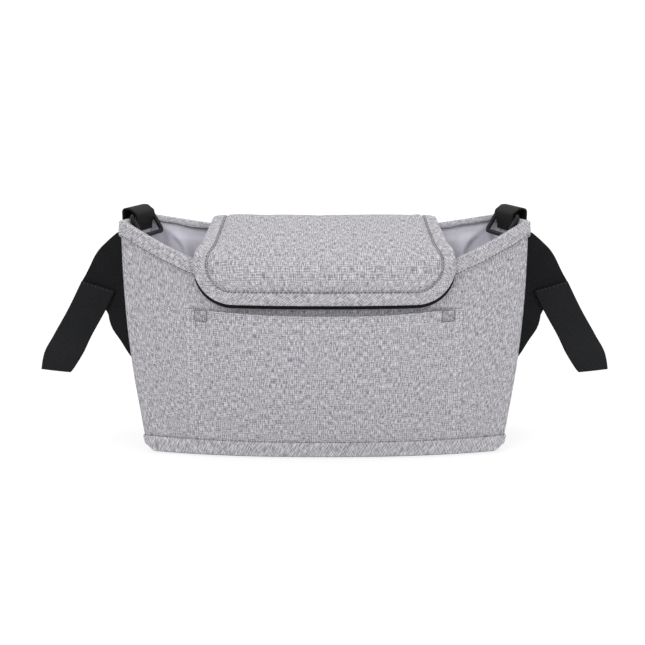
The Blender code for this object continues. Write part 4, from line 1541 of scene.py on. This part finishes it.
def thread_material(name, colour, light):
    material, tree, shader = new_material(name, 0.55)
    spot = add_node(tree, "ShaderNodeTexCoord")
    twist = add_node(tree, "ShaderNodeTexWave",
                     {"Vector": spot.outputs["Object"], "Scale": 700.0, "Distortion": 1.0},
                     wave_type="BANDS", bands_direction="DIAGONAL")
    shade = ramp(tree, twist.outputs["Fac"], ((0.2, hex_colour(colour)), (0.9, hex_colour(light))))
    tree.links.new(shade, shader.inputs["Base Color"])
    return material


grey_thread = thread_material("polyester thread, grey", "#CFCDD2", "#ECEAEF")
dark_thread = thread_material("polyester thread, dark grey", "#545259", "#726F77")
black_thread = thread_material("polyester thread, black", "#1C1D20", "#34363B")


def along_path(path, step):
    """Evenly spaced (place, direction) pairs along a row of points."""
    lengths = measured(path)
    count = max(1, int(lengths[-1] / step))
    spots = []
    index = 0
    for number in range(count):
        target = (number + 0.5) * lengths[-1] / count
        while lengths[index + 1] < target:
            index += 1
        share = (target - lengths[index]) / (lengths[index + 1] - lengths[index])
        spots.append((path[index].lerp(path[index + 1], share), path[index + 1] - path[index]))
    return spots


def sew(name, paths, thread, step=STITCH_STEP, length=STITCH_LENGTH, size=THREAD):
    bm = bmesh.new()
    for path in paths:
        for spot, direction in along_path(path, step):
            turn = direction.to_track_quat("X", "Z").to_matrix().to_4x4()
            shape = Matrix.Diagonal((0.5 * length, 0.5 * size, 0.5 * size, 1.0))
            bmesh.ops.create_uvsphere(bm, u_segments=6, v_segments=4, radius=1.0,
                                      matrix=Matrix.Translation(spot) @ turn @ shape)
    for face in bm.faces:
        face.smooth = True
    finish_piece(name, bm, thread)


SEAM_X = (0.1153, 0.1197)
SEAM_LOW = 0.030
HEM_DROP = 0.0100

rows = []
for sign in (-1.0, 1.0):
    for x in SEAM_X:
        rows.append([on_pocket(sign * x, mix(SEAM_LOW, POCKET_TOP - 0.002, k / 30.0))
                     for k in range(31)])
sew("pocket_end_stitches", rows, grey_thread)

hem = []
for k in range(81):
    x = mix(-SEAM_X[0], SEAM_X[0], k / 80.0)
    hem.append(on_pocket(x, pocket_mouth(x) - HEM_DROP))
sew("pocket_hem_stitches", [hem], grey_thread)

tacks = []
for sign in (-1.0, 1.0):
    low, high = POCKET_TOP - GAP - BARTACK_HEIGHT, POCKET_TOP - GAP
    left, right = (sign * POCKET_MOUTH_HALF + half * BARTACK_WIDTH for half in (-0.5, 0.5))
    corners = ((left, low), (right, low), (right, high), (left, high), (left, low))
    for a, b in zip(corners, corners[1:]):
        tacks.append([on_pocket(mix(a[0], b[0], k / 6.0), mix(a[1], b[1], k / 6.0), 0.0007)
                      for k in range(7)])
sew("bartack_stitches", tacks, dark_thread, step=0.0016, length=0.0014, size=0.0007)


def strap_seam(sign):
    """Row just inside the strap's upper end, on its front face."""
    outer = from_mouth_corner(STRAP_OUTER, STRAP_REACH, STRAP_DROP)
    inner = from_mouth_corner(STRAP_INNER, STRAP_REACH, STRAP_DROP)
    row = []
    for k in range(21):
        share = mix(0.04, 0.96, k / 20.0)
        spot = spline(outer, 0.015)[0].lerp(spline(inner, 0.015)[0], share)
        row.append(Vector((sign * spot.x, BACK_Y - STRAP_THICK, spot.y)))
    return row


def tab_seam(side, drop):
    """Row across the outer leg of a ring tab."""
    centre, along, inward, up = tab_frame(side)
    width = 2.0 * (ring_half(side) - 0.5 * RING_BAR - TAB_SIDE_CLEAR)
    outer = TAPE_OUT + 0.5 * TAPE + GAP + TAB_THICK
    start = centre - inward * outer - up * drop
    return [start + along * mix(-0.45, 0.45, k / 12.0) * width for k in range(13)]


sew("strap_stitches", [strap_seam(-1.0), strap_seam(1.0)], black_thread)
sew("tab_stitches", [tab_seam(side, drop) for side in (1, 3) for drop in (0.014, 0.027)],
    black_thread)

# %% [markdown]
# The rings keep their CAD shape, since a moulded ring is as plain as its model. They and the
# hidden stiffener only need their own finish.

# %% Finish of the rings and the board
for node, material in (("left_ring", ring_plastic), ("right_ring", ring_plastic),
                       ("base_board", board_sheet)):
    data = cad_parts[node].data
    data.materials.clear()
    data.materials.append(material)
print("CAD nodes finished", 3)

# %% [markdown]
# The view transform stays plain, so a colour renders as written.

# %% Finish
bpy.context.scene.view_settings.view_transform = "Standard"
